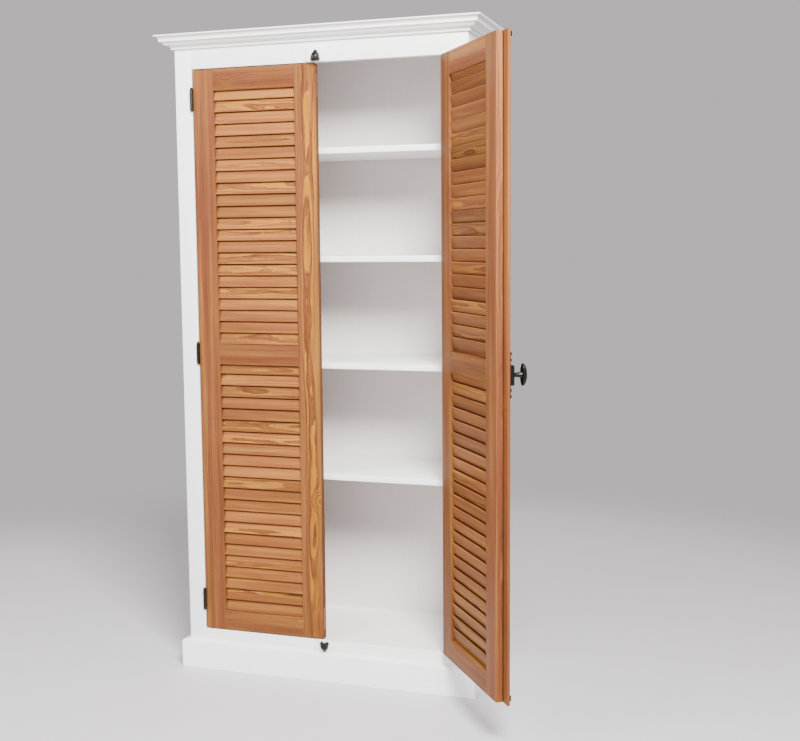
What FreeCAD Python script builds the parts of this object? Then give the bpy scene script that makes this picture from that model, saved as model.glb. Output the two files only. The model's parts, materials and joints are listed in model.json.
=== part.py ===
import FreeCAD, Part
import math
import os

import Sketcher
from FreeCAD import Placement, Rotation, Vector

# A tall storage cabinet: painted carcass with face frame, cornice and plinth, and a pair of inset
# louvred doors. The left door is shut and the right door stands open. Millimetres, +Z up, the front
# faces -Y, and the origin is on the floor at the middle of the carcass, under the centre bearer.

SIZES = {
    # carcass
    "carcass_width": 913,
    "carcass_depth": 350,
    "side_thickness": 18,
    "top_thickness": 18,
    "floor_thickness": 18,
    "back_thickness": 8,
    "back_lap": 9,
    "back_bottom": 60,
    "bearer_thickness": 18,
    # face frame
    "frame_thickness": 22,
    "frame_stile_width": 54,
    "head_rail_height": 99,
    "sill_rise": 37,
    "sill_drop": 18,
    "frame_tenon_length": 30,
    "frame_tenon_thickness": 8,
    # shelves on pins
    "shelf_thickness": 18,
    "shelf_setback": 30,
    "shelf_clearance": 0.5,
    "shelf_1_top": 1608,
    "shelf_2_top": 1291,
    "shelf_3_top": 973,
    "shelf_4_top": 635,
    "pin_diameter": 5,
    "pin_depth": 10,
    "pin_reach": 9,
    "pin_inset": 45,
    "pin_fit": 0.05,
    # crown cornice, measured out from the carcass and down from its top
    "cornice_height": 40,
    "cornice_reach": 46,
    "cornice_lip": 4,
    "cornice_cove_radius": 11,
    "cornice_step_depth": 16,
    "cornice_step_reach": 35,
    "cornice_step": 2.5,
    "cornice_crown_radius": 17,
    "cornice_foot_reach": 8,
    "cornice_foot_height": 4,
    # plinth
    "plinth_height": 88,
    "plinth_thickness": 20,
    "plinth_chamfer": 4,
    # doors
    "door_height": 1720,
    "door_thickness": 20,
    "door_gap": 3,
    "meeting_gap": 3,
    "stile_width": 68,
    "top_rail_height": 64,
    "middle_rail_height": 62,
    "middle_rail_centre": 866,
    "foot_rail_height": 61,
    "tenon_length": 40,
    "tenon_thickness": 7,
    "tenon_shoulder": 8,
    # louvres
    "slat_count": 22,
    "slat_thickness": 5.5,
    "slat_width": 42,
    "slat_nose": 2,
    "slat_tilt": 14,
    "slat_first_drop": 29,
    "slat_last_rise": 0.3,
    "housing_depth": 6,
    "housing_clearance": 0.2,
    # hinges
    "hinge_foot_inset": 94,
    "hinge_middle_rise": 2,
    "hinge_head_inset": 87,
    "knuckle_diameter": 10,
    "knuckle_standoff": 0.3,
    "hinge_length": 56,
    "hinge_play": 0.4,
    "hinge_pin_diameter": 6,
    "hinge_pin_fit": 0.05,
    "finial_length": 8,
    "leaf_thickness": 1.3,
    "leaf_depth": 17,
    "hinge_screw_pitch": 19,
    "hinge_screw_head": 5.5,
    "hinge_screw_shank": 3,
    "hinge_screw_tip": 2.1,
    "hinge_screw_length": 15,
    # angle that the right door stands open at rest
    "right_door_open": 126.4,
    # cover strip on the right door, placed about the bolt's line
    "bolt_offset": 3,
    "strip_width": 60,
    "strip_thickness": 8,
    # surface bolt: rods, guides, lock case and knob
    "rod_width": 10,
    "rod_height": 11,
    "rod_fit": 0.3,
    "rod_end_gap": 2,
    "rod_travel": 12,
    "guide_length": 12,
    "guide_wall": 3.5,
    "guide_foot": 7,
    "guide_foot_thickness": 1.75,
    "guide_inset": 3,
    "guide_screw_head": 3.6,
    "guide_screw_dome": 1.2,
    "guide_screw_shank": 1.8,
    "guide_screw_tip": 1.2,
    "knob_drop": 4,
    "case_height": 18.5,
    "case_wall": 2,
    "case_clearance": 1.5,
    "collar_reach": 60,
    "collar_diameter": 15,
    "bead_diameter": 20,
    "bead_length": 8,
    "bead_pitch": 16,
    "rack_thickness": 3,
    "rack_gap": 0.3,
    "pinion_thickness": 6,
    "spindle_diameter": 8,
    "spindle_fit": 0.05,
    "journal_diameter": 6,
    "journal_depth": 6,
    "neck_diameter": 12.6,
    "neck_flare": 17.6,
    "neck_length": 22,
    "olive_height": 59,
    "olive_width": 26,
    "olive_dome": 12,
    "olive_back": 5,
    # keepers over and under the doors, on packing blocks
    "keeper_block_width": 60,
    "keeper_block_over": 8.5,
    "keeper_width": 29,
    "keeper_rise": 1.5,
    "keeper_margin": 3.5,
    "keeper_depth": 16,
    "keeper_wall": 3,
    "keeper_fit": 0.6,
    "keeper_socket": 20,
    "keeper_screw_head": 3.6,
    "keeper_screw_tip": 1.8,
    "keeper_screw_length": 14,
    # left door's flush bolts
    "flush_bolt_diameter": 5,
    "flush_bolt_inset": 9.5,
    "flush_bolt_set": 8,
    "flush_bolt_length": 80,
    "flush_bolt_fit": 0.1,
    "flush_bolt_proud": 1,
    "flush_bolt_throw": 12,
    "flush_thumb": 4,
    "flush_thumb_setback": 0.4,
    "flush_plate_length": 66,
    "flush_plate_width": 12,
    "flush_plate_thickness": 2,
    "strike_fit": 0.5,
    "strike_thickness": 1,
    "strike_length": 26,
}

# Outline of a keeper's bell from its mouth to its tip: shares of half its width and of its height.
KEEPER_BELL = (
    (0.8, 0),
    (1, 0.12),
    (0.8, 0.3),
    (0.72, 0.55),
    (0.43, 0.78),
    (0.25, 0.84),
    (0.25, 0.93),
    (0.09, 1),
)
KEEPER_EAR = KEEPER_BELL[1][1]

doc = FreeCAD.newDocument("louvred_door_cabinet")
sheet = doc.addObject("Spreadsheet::Sheet", "Sizes")
for row, (alias, number) in enumerate(SIZES.items(), start=1):
    sheet.set(f"A{row}", alias.replace("_", " "))
    sheet.set(f"B{row}", str(number))
    sheet.setAlias(f"B{row}", alias)
doc.recompute()


class Size:
    """A number together with the spreadsheet expression that gives it."""

    def __init__(self, number, text):
        self.number = number
        self.text = text

    def __add__(self, other):
        other = as_size(other)
        return Size(self.number + other.number, f"({self.text} + {other.text})")

    def __sub__(self, other):
        other = as_size(other)
        return Size(self.number - other.number, f"({self.text} - {other.text})")

    def __mul__(self, other):
        other = as_size(other)
        return Size(self.number * other.number, f"({self.text} * {other.text})")

    def __truediv__(self, other):
        other = as_size(other)
        return Size(self.number / other.number, f"({self.text} / {other.text})")

    def __neg__(self):
        return Size(-self.number, f"(-1 * {self.text})")

    __radd__ = __add__
    __rmul__ = __mul__

    def __rsub__(self, other):
        return as_size(other) - self


def as_size(thing):
    """The thing itself if it is a Size, or a Size that holds a plain number."""
    if isinstance(thing, Size):
        return thing
    return Size(float(thing), f"({float(thing)})")


def sine(angle):
    return Size(math.sin(math.radians(angle.number)), f"sin({angle.text})")


def cosine(angle):
    return Size(math.cos(math.radians(angle.number)), f"cos({angle.text})")


class Sheet:
    """Reads the spreadsheet: S.carcass_width is the Size of that cell."""

    def __getattr__(self, alias):
        return Size(float(SIZES[alias]), f"Sizes.{alias}")


S = Sheet()
NONE = as_size(0)
NODES = []

# ---------------------------------------------------------------- levels and places that are shared

RIGHT_EDGE = S.carcass_width / 2
FRONT = -S.carcass_depth / 2
REAR = S.carcass_depth / 2
FRAME_BACK = FRONT + S.frame_thickness
SIDE_INNER = RIGHT_EDGE - S.side_thickness
BACK_FACE = REAR - S.back_thickness
OPENING_HALF = RIGHT_EDGE - S.frame_stile_width
FLOOR_TOP = S.plinth_height + S.sill_rise
FLOOR_BOTTOM = FLOOR_TOP - S.floor_thickness
DOOR_BOTTOM = FLOOR_TOP + S.door_gap
DOOR_TOP = DOOR_BOTTOM + S.door_height
HEAD_RAIL_BOTTOM = DOOR_TOP + S.door_gap
TOP = HEAD_RAIL_BOTTOM + S.head_rail_height
PANEL_TOP = TOP - S.top_thickness
MIDDLE_RAIL = DOOR_BOTTOM + S.middle_rail_centre
DOOR_OUTER = OPENING_HALF - S.door_gap
DOOR_INNER = S.meeting_gap / 2
DOOR_BACK = FRONT + S.door_thickness
DOOR_MIDDLE = FRONT + S.door_thickness / 2

PIVOT_X = OPENING_HALF - S.door_gap / 2
PIVOT_Y = FRONT - S.knuckle_diameter / 2 - S.knuckle_standoff
HINGE_HEIGHTS = (
    DOOR_BOTTOM + S.hinge_foot_inset,
    MIDDLE_RAIL + S.hinge_middle_rise,
    DOOR_TOP - S.hinge_head_inset,
)

BOLT_X = S.bolt_offset
STRIP_FACE = FRONT - S.strip_thickness
KNOB_Z = MIDDLE_RAIL - S.knob_drop
CASE_FACE = STRIP_FACE - S.case_height
PITCH_RADIUS = S.rod_travel / (math.pi / 2)
KEEPER_HEIGHT = S.sill_rise - S.keeper_rise - S.keeper_margin

FLUSH_BOLT_X = -DOOR_INNER - S.flush_bolt_inset
FLUSH_BOLT_Y = FRONT + S.flush_bolt_set

LEFT = -1
RIGHT = 1

# ---------------------------------------------------------------- building helpers


def bind(thing, prop, size):
    """Ties one property of an object to a spreadsheet expression."""
    thing.setExpression(prop, as_size(size).text)


def place(thing, x, y, z, turn=None):
    """Puts an object at a point, with each coordinate tied to the sheet."""
    x, y, z = as_size(x), as_size(y), as_size(z)
    thing.Placement = Placement(Vector(x.number, y.number, z.number), turn or Rotation())
    bind(thing, "Placement.Base.x", x)
    bind(thing, "Placement.Base.y", y)
    bind(thing, "Placement.Base.z", z)
    return thing


def board(name, x, y, z):
    """A rectangular solid between two bounds along each axis, given in either order."""
    box = doc.addObject("Part::Box", name)
    low = []
    for prop, (one, other) in zip(("Length", "Width", "Height"), (x, y, z)):
        one, other = as_size(one), as_size(other)
        if one.number > other.number:
            one, other = other, one
        bind(box, prop, other - one)
        low.append(one)
    return place(box, *low)


def rod(name, axis, x, y, z, diameter, length):
    """A cylinder from a point along +X, +Y or +Z."""
    turns = {
        "x": Rotation(Vector(0, 1, 0), 90),
        "y": Rotation(Vector(1, 0, 0), -90),
        "z": Rotation(),
    }
    cylinder = doc.addObject("Part::Cylinder", name)
    bind(cylinder, "Radius", as_size(diameter) / 2)
    bind(cylinder, "Height", length)
    return place(cylinder, x, y, z, turns[axis])


def cone(name, turn, x, y, z, start_diameter, end_diameter, length):
    """A cone from a point along the direction that the turn gives to +Z."""
    solid = doc.addObject("Part::Cone", name)
    bind(solid, "Radius1", as_size(start_diameter) / 2)
    bind(solid, "Radius2", as_size(end_diameter) / 2)
    bind(solid, "Height", length)
    return place(solid, x, y, z, turn)


def fused(name, shapes):
    """One solid from shapes that touch or overlap."""
    union = doc.addObject("Part::MultiFuse", name)
    union.Shapes = shapes
    union.Refine = True
    return union


def grouped(name, shapes):
    """A group of separate solids."""
    group = doc.addObject("Part::Compound", name)
    group.Links = shapes
    return group


def trimmed(name, base, tools):
    """The base with every tool cut away."""
    result = doc.addObject("Part::Cut", name)
    result.Base = base
    result.Tool = tools[0] if len(tools) == 1 else fused(f"{name}_cutters", tools)
    return result


def plane_of(body, role):
    """One of a body's own origin planes or axes, by its role."""
    return next(item for item in body.Origin.OriginFeatures if item.Role == role)


def outline(body, role, name, corners, arcs=None, offset=None):
    """A closed sketch whose corners are tied to the sheet.

    arcs maps the number of the edge that leaves a corner to its radius, which is positive where
    the arc turns left from that corner to the next one and negative where it turns right.
    """
    arcs = arcs or {}
    sketch = body.newObject("Sketcher::SketchObject", name)
    sketch.AttachmentSupport = [(plane_of(body, role), "")]
    sketch.MapMode = "FlatFace"
    if offset is not None:
        bind(sketch, "AttachmentOffset.Base.z", offset)
    corners = [(as_size(u), as_size(v)) for u, v in corners]
    points = [Vector(u.number, v.number, 0) for u, v in corners]
    count = len(points)
    start_end = []
    for index, start in enumerate(points):
        end = points[(index + 1) % count]
        if index in arcs:
            radius = arcs[index].number
            sketch.addGeometry(arc_between(start, end, radius), False)
            start_end.append((1, 2) if radius > 0 else (2, 1))
        else:
            sketch.addGeometry(Part.LineSegment(start, end), False)
            start_end.append((1, 2))
    for index, (u, v) in enumerate(corners):
        before = (index - 1) % count
        first = start_end[index][0]
        sketch.addConstraint(
            Sketcher.Constraint("Coincident", before, start_end[before][1], index, first)
        )
        for kind, size in (("DistanceX", u), ("DistanceY", v)):
            number = sketch.addConstraint(
                Sketcher.Constraint(kind, -1, 1, index, first, size.number)
            )
            sketch.setExpression(f"Constraints[{number}]", size.text)
    for index, radius in arcs.items():
        size = radius if radius.number > 0 else -radius
        number = sketch.addConstraint(Sketcher.Constraint("Radius", index, size.number))
        sketch.setExpression(f"Constraints[{number}]", size.text)
    return sketch


def arc_between(start, end, radius):
    """The short arc between two points, turning left for a positive radius."""
    chord = end - start
    half = chord.Length / 2
    across = Vector(-chord.y, chord.x, 0).normalize()
    rise = math.sqrt(max(radius * radius - half * half, 0))
    centre = (start + end) / 2 + across * (rise if radius > 0 else -rise)
    first, last = (start, end) if radius > 0 else (end, start)
    circle = Part.Circle(centre, Vector(0, 0, 1), abs(radius))
    return Part.ArcOfCircle(
        circle,
        math.atan2(first.y - centre.y, first.x - centre.x),
        math.atan2(last.y - centre.y, last.x - centre.x),
    )


def extruded(body, name, sketch, length, midplane=False, reverse=False):
    """A pad of a sketch by a length that is tied to the sheet."""
    pad = body.newObject("PartDesign::Pad", name)
    pad.Profile = sketch
    pad.Midplane = midplane
    pad.Reversed = reverse
    bind(pad, "Length", length)
    return pad


def node(thing, label):
    """Marks an object as one of the cabinet's pieces."""
    thing.Label = label
    NODES.append(thing)
    return thing


def door_node(thing, label, side, x=NONE, y=NONE, z=NONE):
    """Marks a piece of a door, and swings the right door's pieces open about its hinge pins.

    x, y and z are where the piece's own placement puts it while the door is shut.
    """
    if side == RIGHT:
        swing = S.right_door_open
        from_pin_x, from_pin_y = x - PIVOT_X, y - PIVOT_Y
        place(
            thing,
            PIVOT_X + from_pin_x * cosine(swing) - from_pin_y * sine(swing),
            PIVOT_Y + from_pin_x * sine(swing) + from_pin_y * cosine(swing),
            z,
            Rotation(Vector(0, 0, 1), swing.number),
        )
        bind(thing, "Placement.Rotation.Angle", swing)
    return node(thing, label)


# ---------------------------------------------------------------- carcass


def carcass_panels():
    """Sides, top, floor and back, with the back let into the sides and the top."""
    back = node(
        board(
            "back_panel",
            (-SIDE_INNER - S.back_lap, SIDE_INNER + S.back_lap),
            (BACK_FACE, REAR),
            (S.back_bottom, PANEL_TOP + S.back_lap),
        ),
        "back_panel",
    )
    for side, word in ((LEFT, "left"), (RIGHT, "right")):
        blank = board(
            f"side_blank_{word}",
            (side * SIDE_INNER, side * RIGHT_EDGE),
            (FRAME_BACK, REAR),
            (NONE, PANEL_TOP),
        )
        holes = shelf_pins(f"pin_holes_{word}", (side,), S.pin_diameter + 2 * S.pin_fit, NONE)
        node(trimmed(f"side_panel_{word}", blank, [back, holes]), f"side_panel_{word}")
    top = board(
        "top_blank", (-RIGHT_EDGE, RIGHT_EDGE), (FRAME_BACK, REAR), (PANEL_TOP, TOP)
    )
    node(trimmed("top_panel", top, [back]), "top_panel")
    node(
        board(
            "floor_panel",
            (-SIDE_INNER, SIDE_INNER),
            (FRAME_BACK, BACK_FACE),
            (FLOOR_BOTTOM, FLOOR_TOP),
        ),
        "floor_panel",
    )
    bearer_front = BACK_FACE - S.bearer_thickness
    node(
        board(
            "rear_bearer", (-SIDE_INNER, SIDE_INNER), (bearer_front, BACK_FACE), (NONE, FLOOR_BOTTOM)
        ),
        "rear_bearer",
    )
    node(
        board(
            "centre_bearer",
            (-S.bearer_thickness / 2, S.bearer_thickness / 2),
            (FRAME_BACK, bearer_front),
            (NONE, FLOOR_BOTTOM),
        ),
        "centre_bearer",
    )


def shelf_tops():
    return (S.shelf_1_top, S.shelf_2_top, S.shelf_3_top, S.shelf_4_top)


def shelf_pins(name, sides, diameter, reach):
    """Pins, or the holes for them, under both ends of every shelf near its front and back."""
    front = FRONT + S.shelf_setback + S.pin_inset
    rear = BACK_FACE - S.shelf_clearance - S.pin_inset
    pins = []
    for side in sides:
        inner_end = side * (SIDE_INNER - reach)
        outer_end = side * (SIDE_INNER + S.pin_depth)
        start = inner_end if side == RIGHT else outer_end
        for number, top in enumerate(shelf_tops(), start=1):
            for y in (front, rear):
                pins.append(
                    rod(
                        f"{name}_{number}",
                        "x",
                        start,
                        y,
                        top - S.shelf_thickness - S.pin_diameter / 2,
                        diameter,
                        S.pin_depth + reach,
                    )
                )
    return grouped(name, pins)


def shelves():
    """Four loose shelves and the pins that carry them."""
    half = SIDE_INNER - S.shelf_clearance
    for number, top in enumerate(shelf_tops(), start=1):
        node(
            board(
                f"shelf_{number}",
                (-half, half),
                (FRONT + S.shelf_setback, BACK_FACE - S.shelf_clearance),
                (top - S.shelf_thickness, top),
            ),
            f"shelf_{number}",
        )
    pins = shelf_pins("pins", (LEFT, RIGHT), S.pin_diameter, S.pin_reach)
    node(pins, "shelf_pins")


def tenoned_rail(name, half_length, y, z, tenon_length, tenon_thickness, tenon_shoulder, centre=NONE):
    """A rail centred on x, with a stub tenon at each end, and the cutter for the two mortises."""
    body = board(f"{name}_shoulders", (centre - half_length, centre + half_length), y, z)
    middle = (y[0] + y[1]) / 2
    reach = half_length + tenon_length
    tenon = board(
        f"{name}_tenon",
        (centre - reach, centre + reach),
        (middle - tenon_thickness / 2, middle + tenon_thickness / 2),
        (z[0] + tenon_shoulder, z[1] - tenon_shoulder),
    )
    return fused(name, [body, tenon]), tenon


def face_frame(left_cutters, right_cutters, strike_holes):
    """Two full-height stiles with a head rail and a bottom rail between them."""
    thickness = (FRONT, FRAME_BACK)
    tenon = (S.frame_tenon_length, S.frame_tenon_thickness, S.tenon_shoulder)
    head, head_tenon = tenoned_rail(
        "head_rail_blank", OPENING_HALF, thickness, (HEAD_RAIL_BOTTOM, TOP), *tenon
    )
    low, low_tenon = tenoned_rail(
        "bottom_rail_blank",
        OPENING_HALF,
        thickness,
        (S.plinth_height - S.sill_drop, FLOOR_TOP),
        *tenon,
    )
    node(trimmed("face_frame_head_rail", head, strike_holes["top"]), "face_frame_head_rail")
    node(trimmed("face_frame_bottom_rail", low, strike_holes["bottom"]), "face_frame_bottom_rail")
    for side, word, cutters in ((LEFT, "left", left_cutters), (RIGHT, "right", right_cutters)):
        blank = board(
            f"frame_stile_blank_{word}",
            (side * OPENING_HALF, side * RIGHT_EDGE),
            thickness,
            (NONE, TOP),
        )
        stile = trimmed(f"face_frame_stile_{word}", blank, [head_tenon, low_tenon] + cutters)
        node(stile, f"face_frame_stile_{word}")


# ---------------------------------------------------------------- mitred mouldings


def cornice_profile(across):
    """Corners and arcs of the crown moulding, for a function that sets points out from the face."""
    top = TOP
    foot = top - S.cornice_height
    step_level = top - S.cornice_step_depth
    points = [
        (NONE, foot),
        (S.cornice_foot_reach, foot),
        (S.cornice_foot_reach, foot + S.cornice_foot_height),
        (S.cornice_step_reach - S.cornice_step, step_level - S.cornice_step),
        (S.cornice_step_reach - S.cornice_step, step_level),
        (S.cornice_step_reach, step_level),
        (S.cornice_reach, top - S.cornice_lip),
        (S.cornice_reach, top),
        (NONE, top),
    ]
    return [(across(reach), level) for reach, level in points], {
        2: S.cornice_crown_radius,
        5: -S.cornice_cove_radius,
    }


def plinth_profile(across):
    """Corners of the plinth board, with its top outer edge chamfered."""
    points = [
        (NONE, NONE),
        (S.plinth_thickness, NONE),
        (S.plinth_thickness, S.plinth_height - S.plinth_chamfer),
        (S.plinth_thickness - S.plinth_chamfer, S.plinth_height),
        (NONE, S.plinth_height),
    ]
    return [(across(reach), level) for reach, level in points], {}


def mitre_waste(name, side, angle, reach, level):
    """A cutter that meets the carcass's front corner and leaves a 45 degree mitre."""
    cutter = doc.addObject("Part::Box", name)
    for prop in ("Length", "Width"):
        bind(cutter, prop, reach * 2)
    bind(cutter, "Height", level[1] - level[0])
    place(cutter, side * RIGHT_EDGE, FRONT, level[0], Rotation(Vector(0, 0, 1), angle))
    return cutter


def mitred_moulding(name, profile, reach, level):
    """A front length and two returns that run back to the rear, mitred at the front corners."""
    front = doc.addObject("PartDesign::Body", f"{name}_front_blank")
    corners, arcs = profile(lambda out: FRONT - out)
    sketch = outline(front, "YZ_Plane", f"{name}_front_profile", corners, mirror_arcs(arcs))
    extruded(front, f"{name}_front_length", sketch, (RIGHT_EDGE + reach) * 2, midplane=True)
    waste = [
        mitre_waste(f"{name}_waste_left", LEFT, 135, reach, level),
        mitre_waste(f"{name}_waste_right", RIGHT, -45, reach, level),
    ]
    node(trimmed(f"{name}_front", front, waste), f"{name}_front")
    for side, word in ((LEFT, "left"), (RIGHT, "right")):
        body = doc.addObject("PartDesign::Body", f"{name}_{word}_blank")
        corners, arcs = profile(lambda out: side * (RIGHT_EDGE + out))
        if side == LEFT:
            arcs = mirror_arcs(arcs)
        sketch = outline(body, "XZ_Plane", f"{name}_{word}_profile", corners, arcs, offset=-REAR)
        extruded(body, f"{name}_{word}_length", sketch, REAR - FRONT + reach)
        cutter = mitre_waste(f"{name}_{word}_waste", side, 225, reach, level)
        node(trimmed(f"{name}_{word}", body, [cutter]), f"{name}_{word}")


def mirror_arcs(arcs):
    """The same arcs on an outline that is drawn the other way round."""
    return {edge: -radius for edge, radius in arcs.items()}


# ---------------------------------------------------------------- hinges


def leaf_screws(name, side, toward):
    """Three countersunk screws through every leaf of one door's hinges, into wood at one side.

    toward is RIGHT where the screws point to +X and LEFT where they point to -X.
    """
    into_frame = toward == side
    if into_frame:
        surface = side * (OPENING_HALF - S.leaf_thickness)
    else:
        surface = side * (DOOR_OUTER + S.leaf_thickness)
    turn = Rotation(Vector(0, 1, 0), 90 * toward)
    y = FRONT + S.leaf_depth / 2
    screws = []
    for height in HINGE_HEIGHTS:
        for step in (-1, 0, 1):
            z = height + step * S.hinge_screw_pitch
            head = cone(
                f"{name}_head", turn, surface, y, z,
                S.hinge_screw_head, S.hinge_screw_shank, S.leaf_thickness,
            )
            shank = cone(
                f"{name}_shank", turn, surface + toward * S.leaf_thickness, y, z,
                S.hinge_screw_shank, S.hinge_screw_tip, S.hinge_screw_length,
            )
            screws.append(fused(f"{name}_screw", [head, shank]))
    return screws


def hinge_leaf(name, side, plate_x, knuckles, height):
    """One leaf: a plate in the gap beside the door and its knuckles round the pin."""
    half = S.hinge_length / 2
    plate_front = FRONT + S.knuckle_standoff
    plate = board(
        f"{name}_plate",
        (side * plate_x[0], side * plate_x[1]),
        (plate_front, FRONT + S.leaf_depth),
        (height - half, height + half),
    )
    parts = [plate]
    for low, high in knuckles:
        parts.append(
            rod(
                f"{name}_knuckle", "z", side * PIVOT_X, PIVOT_Y, height + low,
                S.knuckle_diameter, high - low,
            )
        )
        parts.append(
            board(
                f"{name}_wrap",
                (side * plate_x[0], side * plate_x[1]),
                (PIVOT_Y, plate_front),
                (height + low, height + high),
            )
        )
    bore = rod(
        f"{name}_bore", "z", side * PIVOT_X, PIVOT_Y, height - half,
        S.hinge_pin_diameter + 2 * S.hinge_pin_fit, S.hinge_length,
    )
    return trimmed(f"{name}_leaf", fused(f"{name}_blank", parts), [bore])


def hinges():
    """Leaves, pins and screws of both doors, and the cutters that let them into the wood."""
    half = S.hinge_length / 2
    third = S.hinge_length / 6
    outer_knuckles = ((-half, -third - S.hinge_play / 2), (third + S.hinge_play / 2, half))
    middle_knuckle = ((-third + S.hinge_play / 2, third - S.hinge_play / 2),)
    frame_leaves, pins, frame_screws, cutters = [], [], [], {}
    for side, word in ((LEFT, "left"), (RIGHT, "right")):
        in_frame = leaf_screws(f"frame_{word}", side, side)
        in_door = leaf_screws(f"door_{word}", side, -side)
        door_leaves = []
        for height in HINGE_HEIGHTS:
            frame_leaves.append(
                hinge_leaf(
                    f"frame_{word}",
                    side,
                    (OPENING_HALF - S.leaf_thickness, OPENING_HALF),
                    outer_knuckles,
                    height,
                )
            )
            door_leaves.append(
                hinge_leaf(
                    f"door_{word}",
                    side,
                    (DOOR_OUTER, DOOR_OUTER + S.leaf_thickness),
                    middle_knuckle,
                    height,
                )
            )
            pins.append(hinge_pin(f"pin_{word}", side, height))
        frame_screws += in_frame
        leaves = trimmed(
            f"{word}_hinge_leaves", grouped(f"{word}_leaf_set", door_leaves),
            [grouped(f"{word}_leaf_screws", in_door)],
        )
        door_node(leaves, f"{word}_hinge_leaves", side)
        door_node(grouped(f"{word}_hinge_screws", in_door), f"{word}_hinge_screws", side)
        cutters[side] = (in_frame, in_door)
    frame_set = grouped("frame_leaf_set", frame_leaves)
    frame_screw_set = grouped("frame_hinge_screws", frame_screws)
    node(trimmed("frame_hinge_leaves", frame_set, [frame_screw_set]), "frame_hinge_leaves")
    node(frame_screw_set, "frame_hinge_screws")
    node(grouped("hinge_pins", pins), "hinge_pins")
    return cutters


def hinge_pin(name, side, height):
    """A pin with a turned button at each end, which rests on the outer knuckles."""
    half = S.hinge_length / 2
    x, y = side * PIVOT_X, PIVOT_Y
    shaft = rod(f"{name}_shaft", "z", x, y, height - half, S.hinge_pin_diameter, S.hinge_length)
    top = cone(
        f"{name}_top", Rotation(), x, y, height + half,
        S.knuckle_diameter, S.knuckle_diameter / 2, S.finial_length,
    )
    base = cone(
        f"{name}_base", Rotation(), x, y, height - half - S.finial_length,
        S.knuckle_diameter / 2, S.knuckle_diameter, S.finial_length,
    )
    return fused(name, [shaft, top, base])


# ---------------------------------------------------------------- louvres


def tilted(centre_y, centre_z, along, out):
    """A point of a slat's section, measured along the slope and out from its middle plane."""
    lean, rise = sine(S.slat_tilt), cosine(S.slat_tilt)
    return (centre_y + along * lean - out * rise, centre_z + along * rise + out * lean)


def slat_half_rise():
    """Half the height of a slat's section."""
    return (
        (S.slat_width / 2 - S.slat_nose) * cosine(S.slat_tilt)
        + (S.slat_thickness / 2 - S.slat_nose) * sine(S.slat_tilt)
        + S.slat_nose
    )


def whole_section(centre_z, swell):
    """Corners and nose arcs of one slat, or of its housing where there is a swell."""
    along, out = S.slat_width / 2 + swell, S.slat_thickness / 2 + swell
    nose = S.slat_nose + swell
    section = [
        (-along + nose, out),
        (along - nose, out),
        (along, out - nose),
        (along, -out + nose),
        (along - nose, -out),
        (-along + nose, -out),
        (-along, -out + nose),
        (-along, out - nose),
    ]
    corners = [tilted(DOOR_MIDDLE, centre_z, *point) for point in section]
    return corners, {1: -nose, 3: -nose, 5: -nose, 7: -nose}


def head_section(centre_z, top, swell):
    """Corners and nose arcs of the first slat, which is cut level under the rail above it."""
    along, out = S.slat_width / 2 + swell, S.slat_thickness / 2 + swell
    nose = S.slat_nose + swell
    cut_y = DOOR_MIDDLE + (top - centre_z) * sine(S.slat_tilt) / cosine(S.slat_tilt)
    half_cut = out / cosine(S.slat_tilt)
    corners = [
        tilted(DOOR_MIDDLE, centre_z, -along + nose, out),
        (cut_y - half_cut, top),
        (cut_y + half_cut, top),
        tilted(DOOR_MIDDLE, centre_z, -along + nose, -out),
        tilted(DOOR_MIDDLE, centre_z, -along, -out + nose),
        tilted(DOOR_MIDDLE, centre_z, -along, out - nose),
    ]
    return corners, {3: -nose, 5: -nose}


def slat_stack(name, centre_x, reach, opening, swell):
    """The slats of one panel, or with a swell the housings for their ends, as one body.

    opening is the bottom and top level of the panel.
    """
    bottom, top = opening
    first_foot = top - S.slat_first_drop
    first_z = first_foot + slat_half_rise()
    pitch = (first_foot - bottom - S.slat_last_rise) / (S.slat_count - 1)
    body = doc.addObject("PartDesign::Body", name)
    section, noses = whole_section(first_z - pitch, swell)
    sketch = outline(body, "YZ_Plane", f"{name}_section", section, noses, offset=centre_x)
    pad = extruded(body, f"{name}_slat", sketch, reach * 2, midplane=True)
    row = body.newObject("PartDesign::LinearPattern", f"{name}_row")
    row.Originals = [pad]
    row.Direction = (plane_of(body, "Z_Axis"), [""])
    row.Reversed = True
    bind(row, "Length", pitch * (S.slat_count - 2))
    bind(row, "Occurrences", S.slat_count - 1)
    body.Tip = row
    section, noses = head_section(first_z, top, swell)
    sketch = outline(body, "YZ_Plane", f"{name}_head_section", section, noses, offset=centre_x)
    extruded(body, f"{name}_head_slat", sketch, reach * 2, midplane=True)
    return body


# ---------------------------------------------------------------- doors


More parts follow.
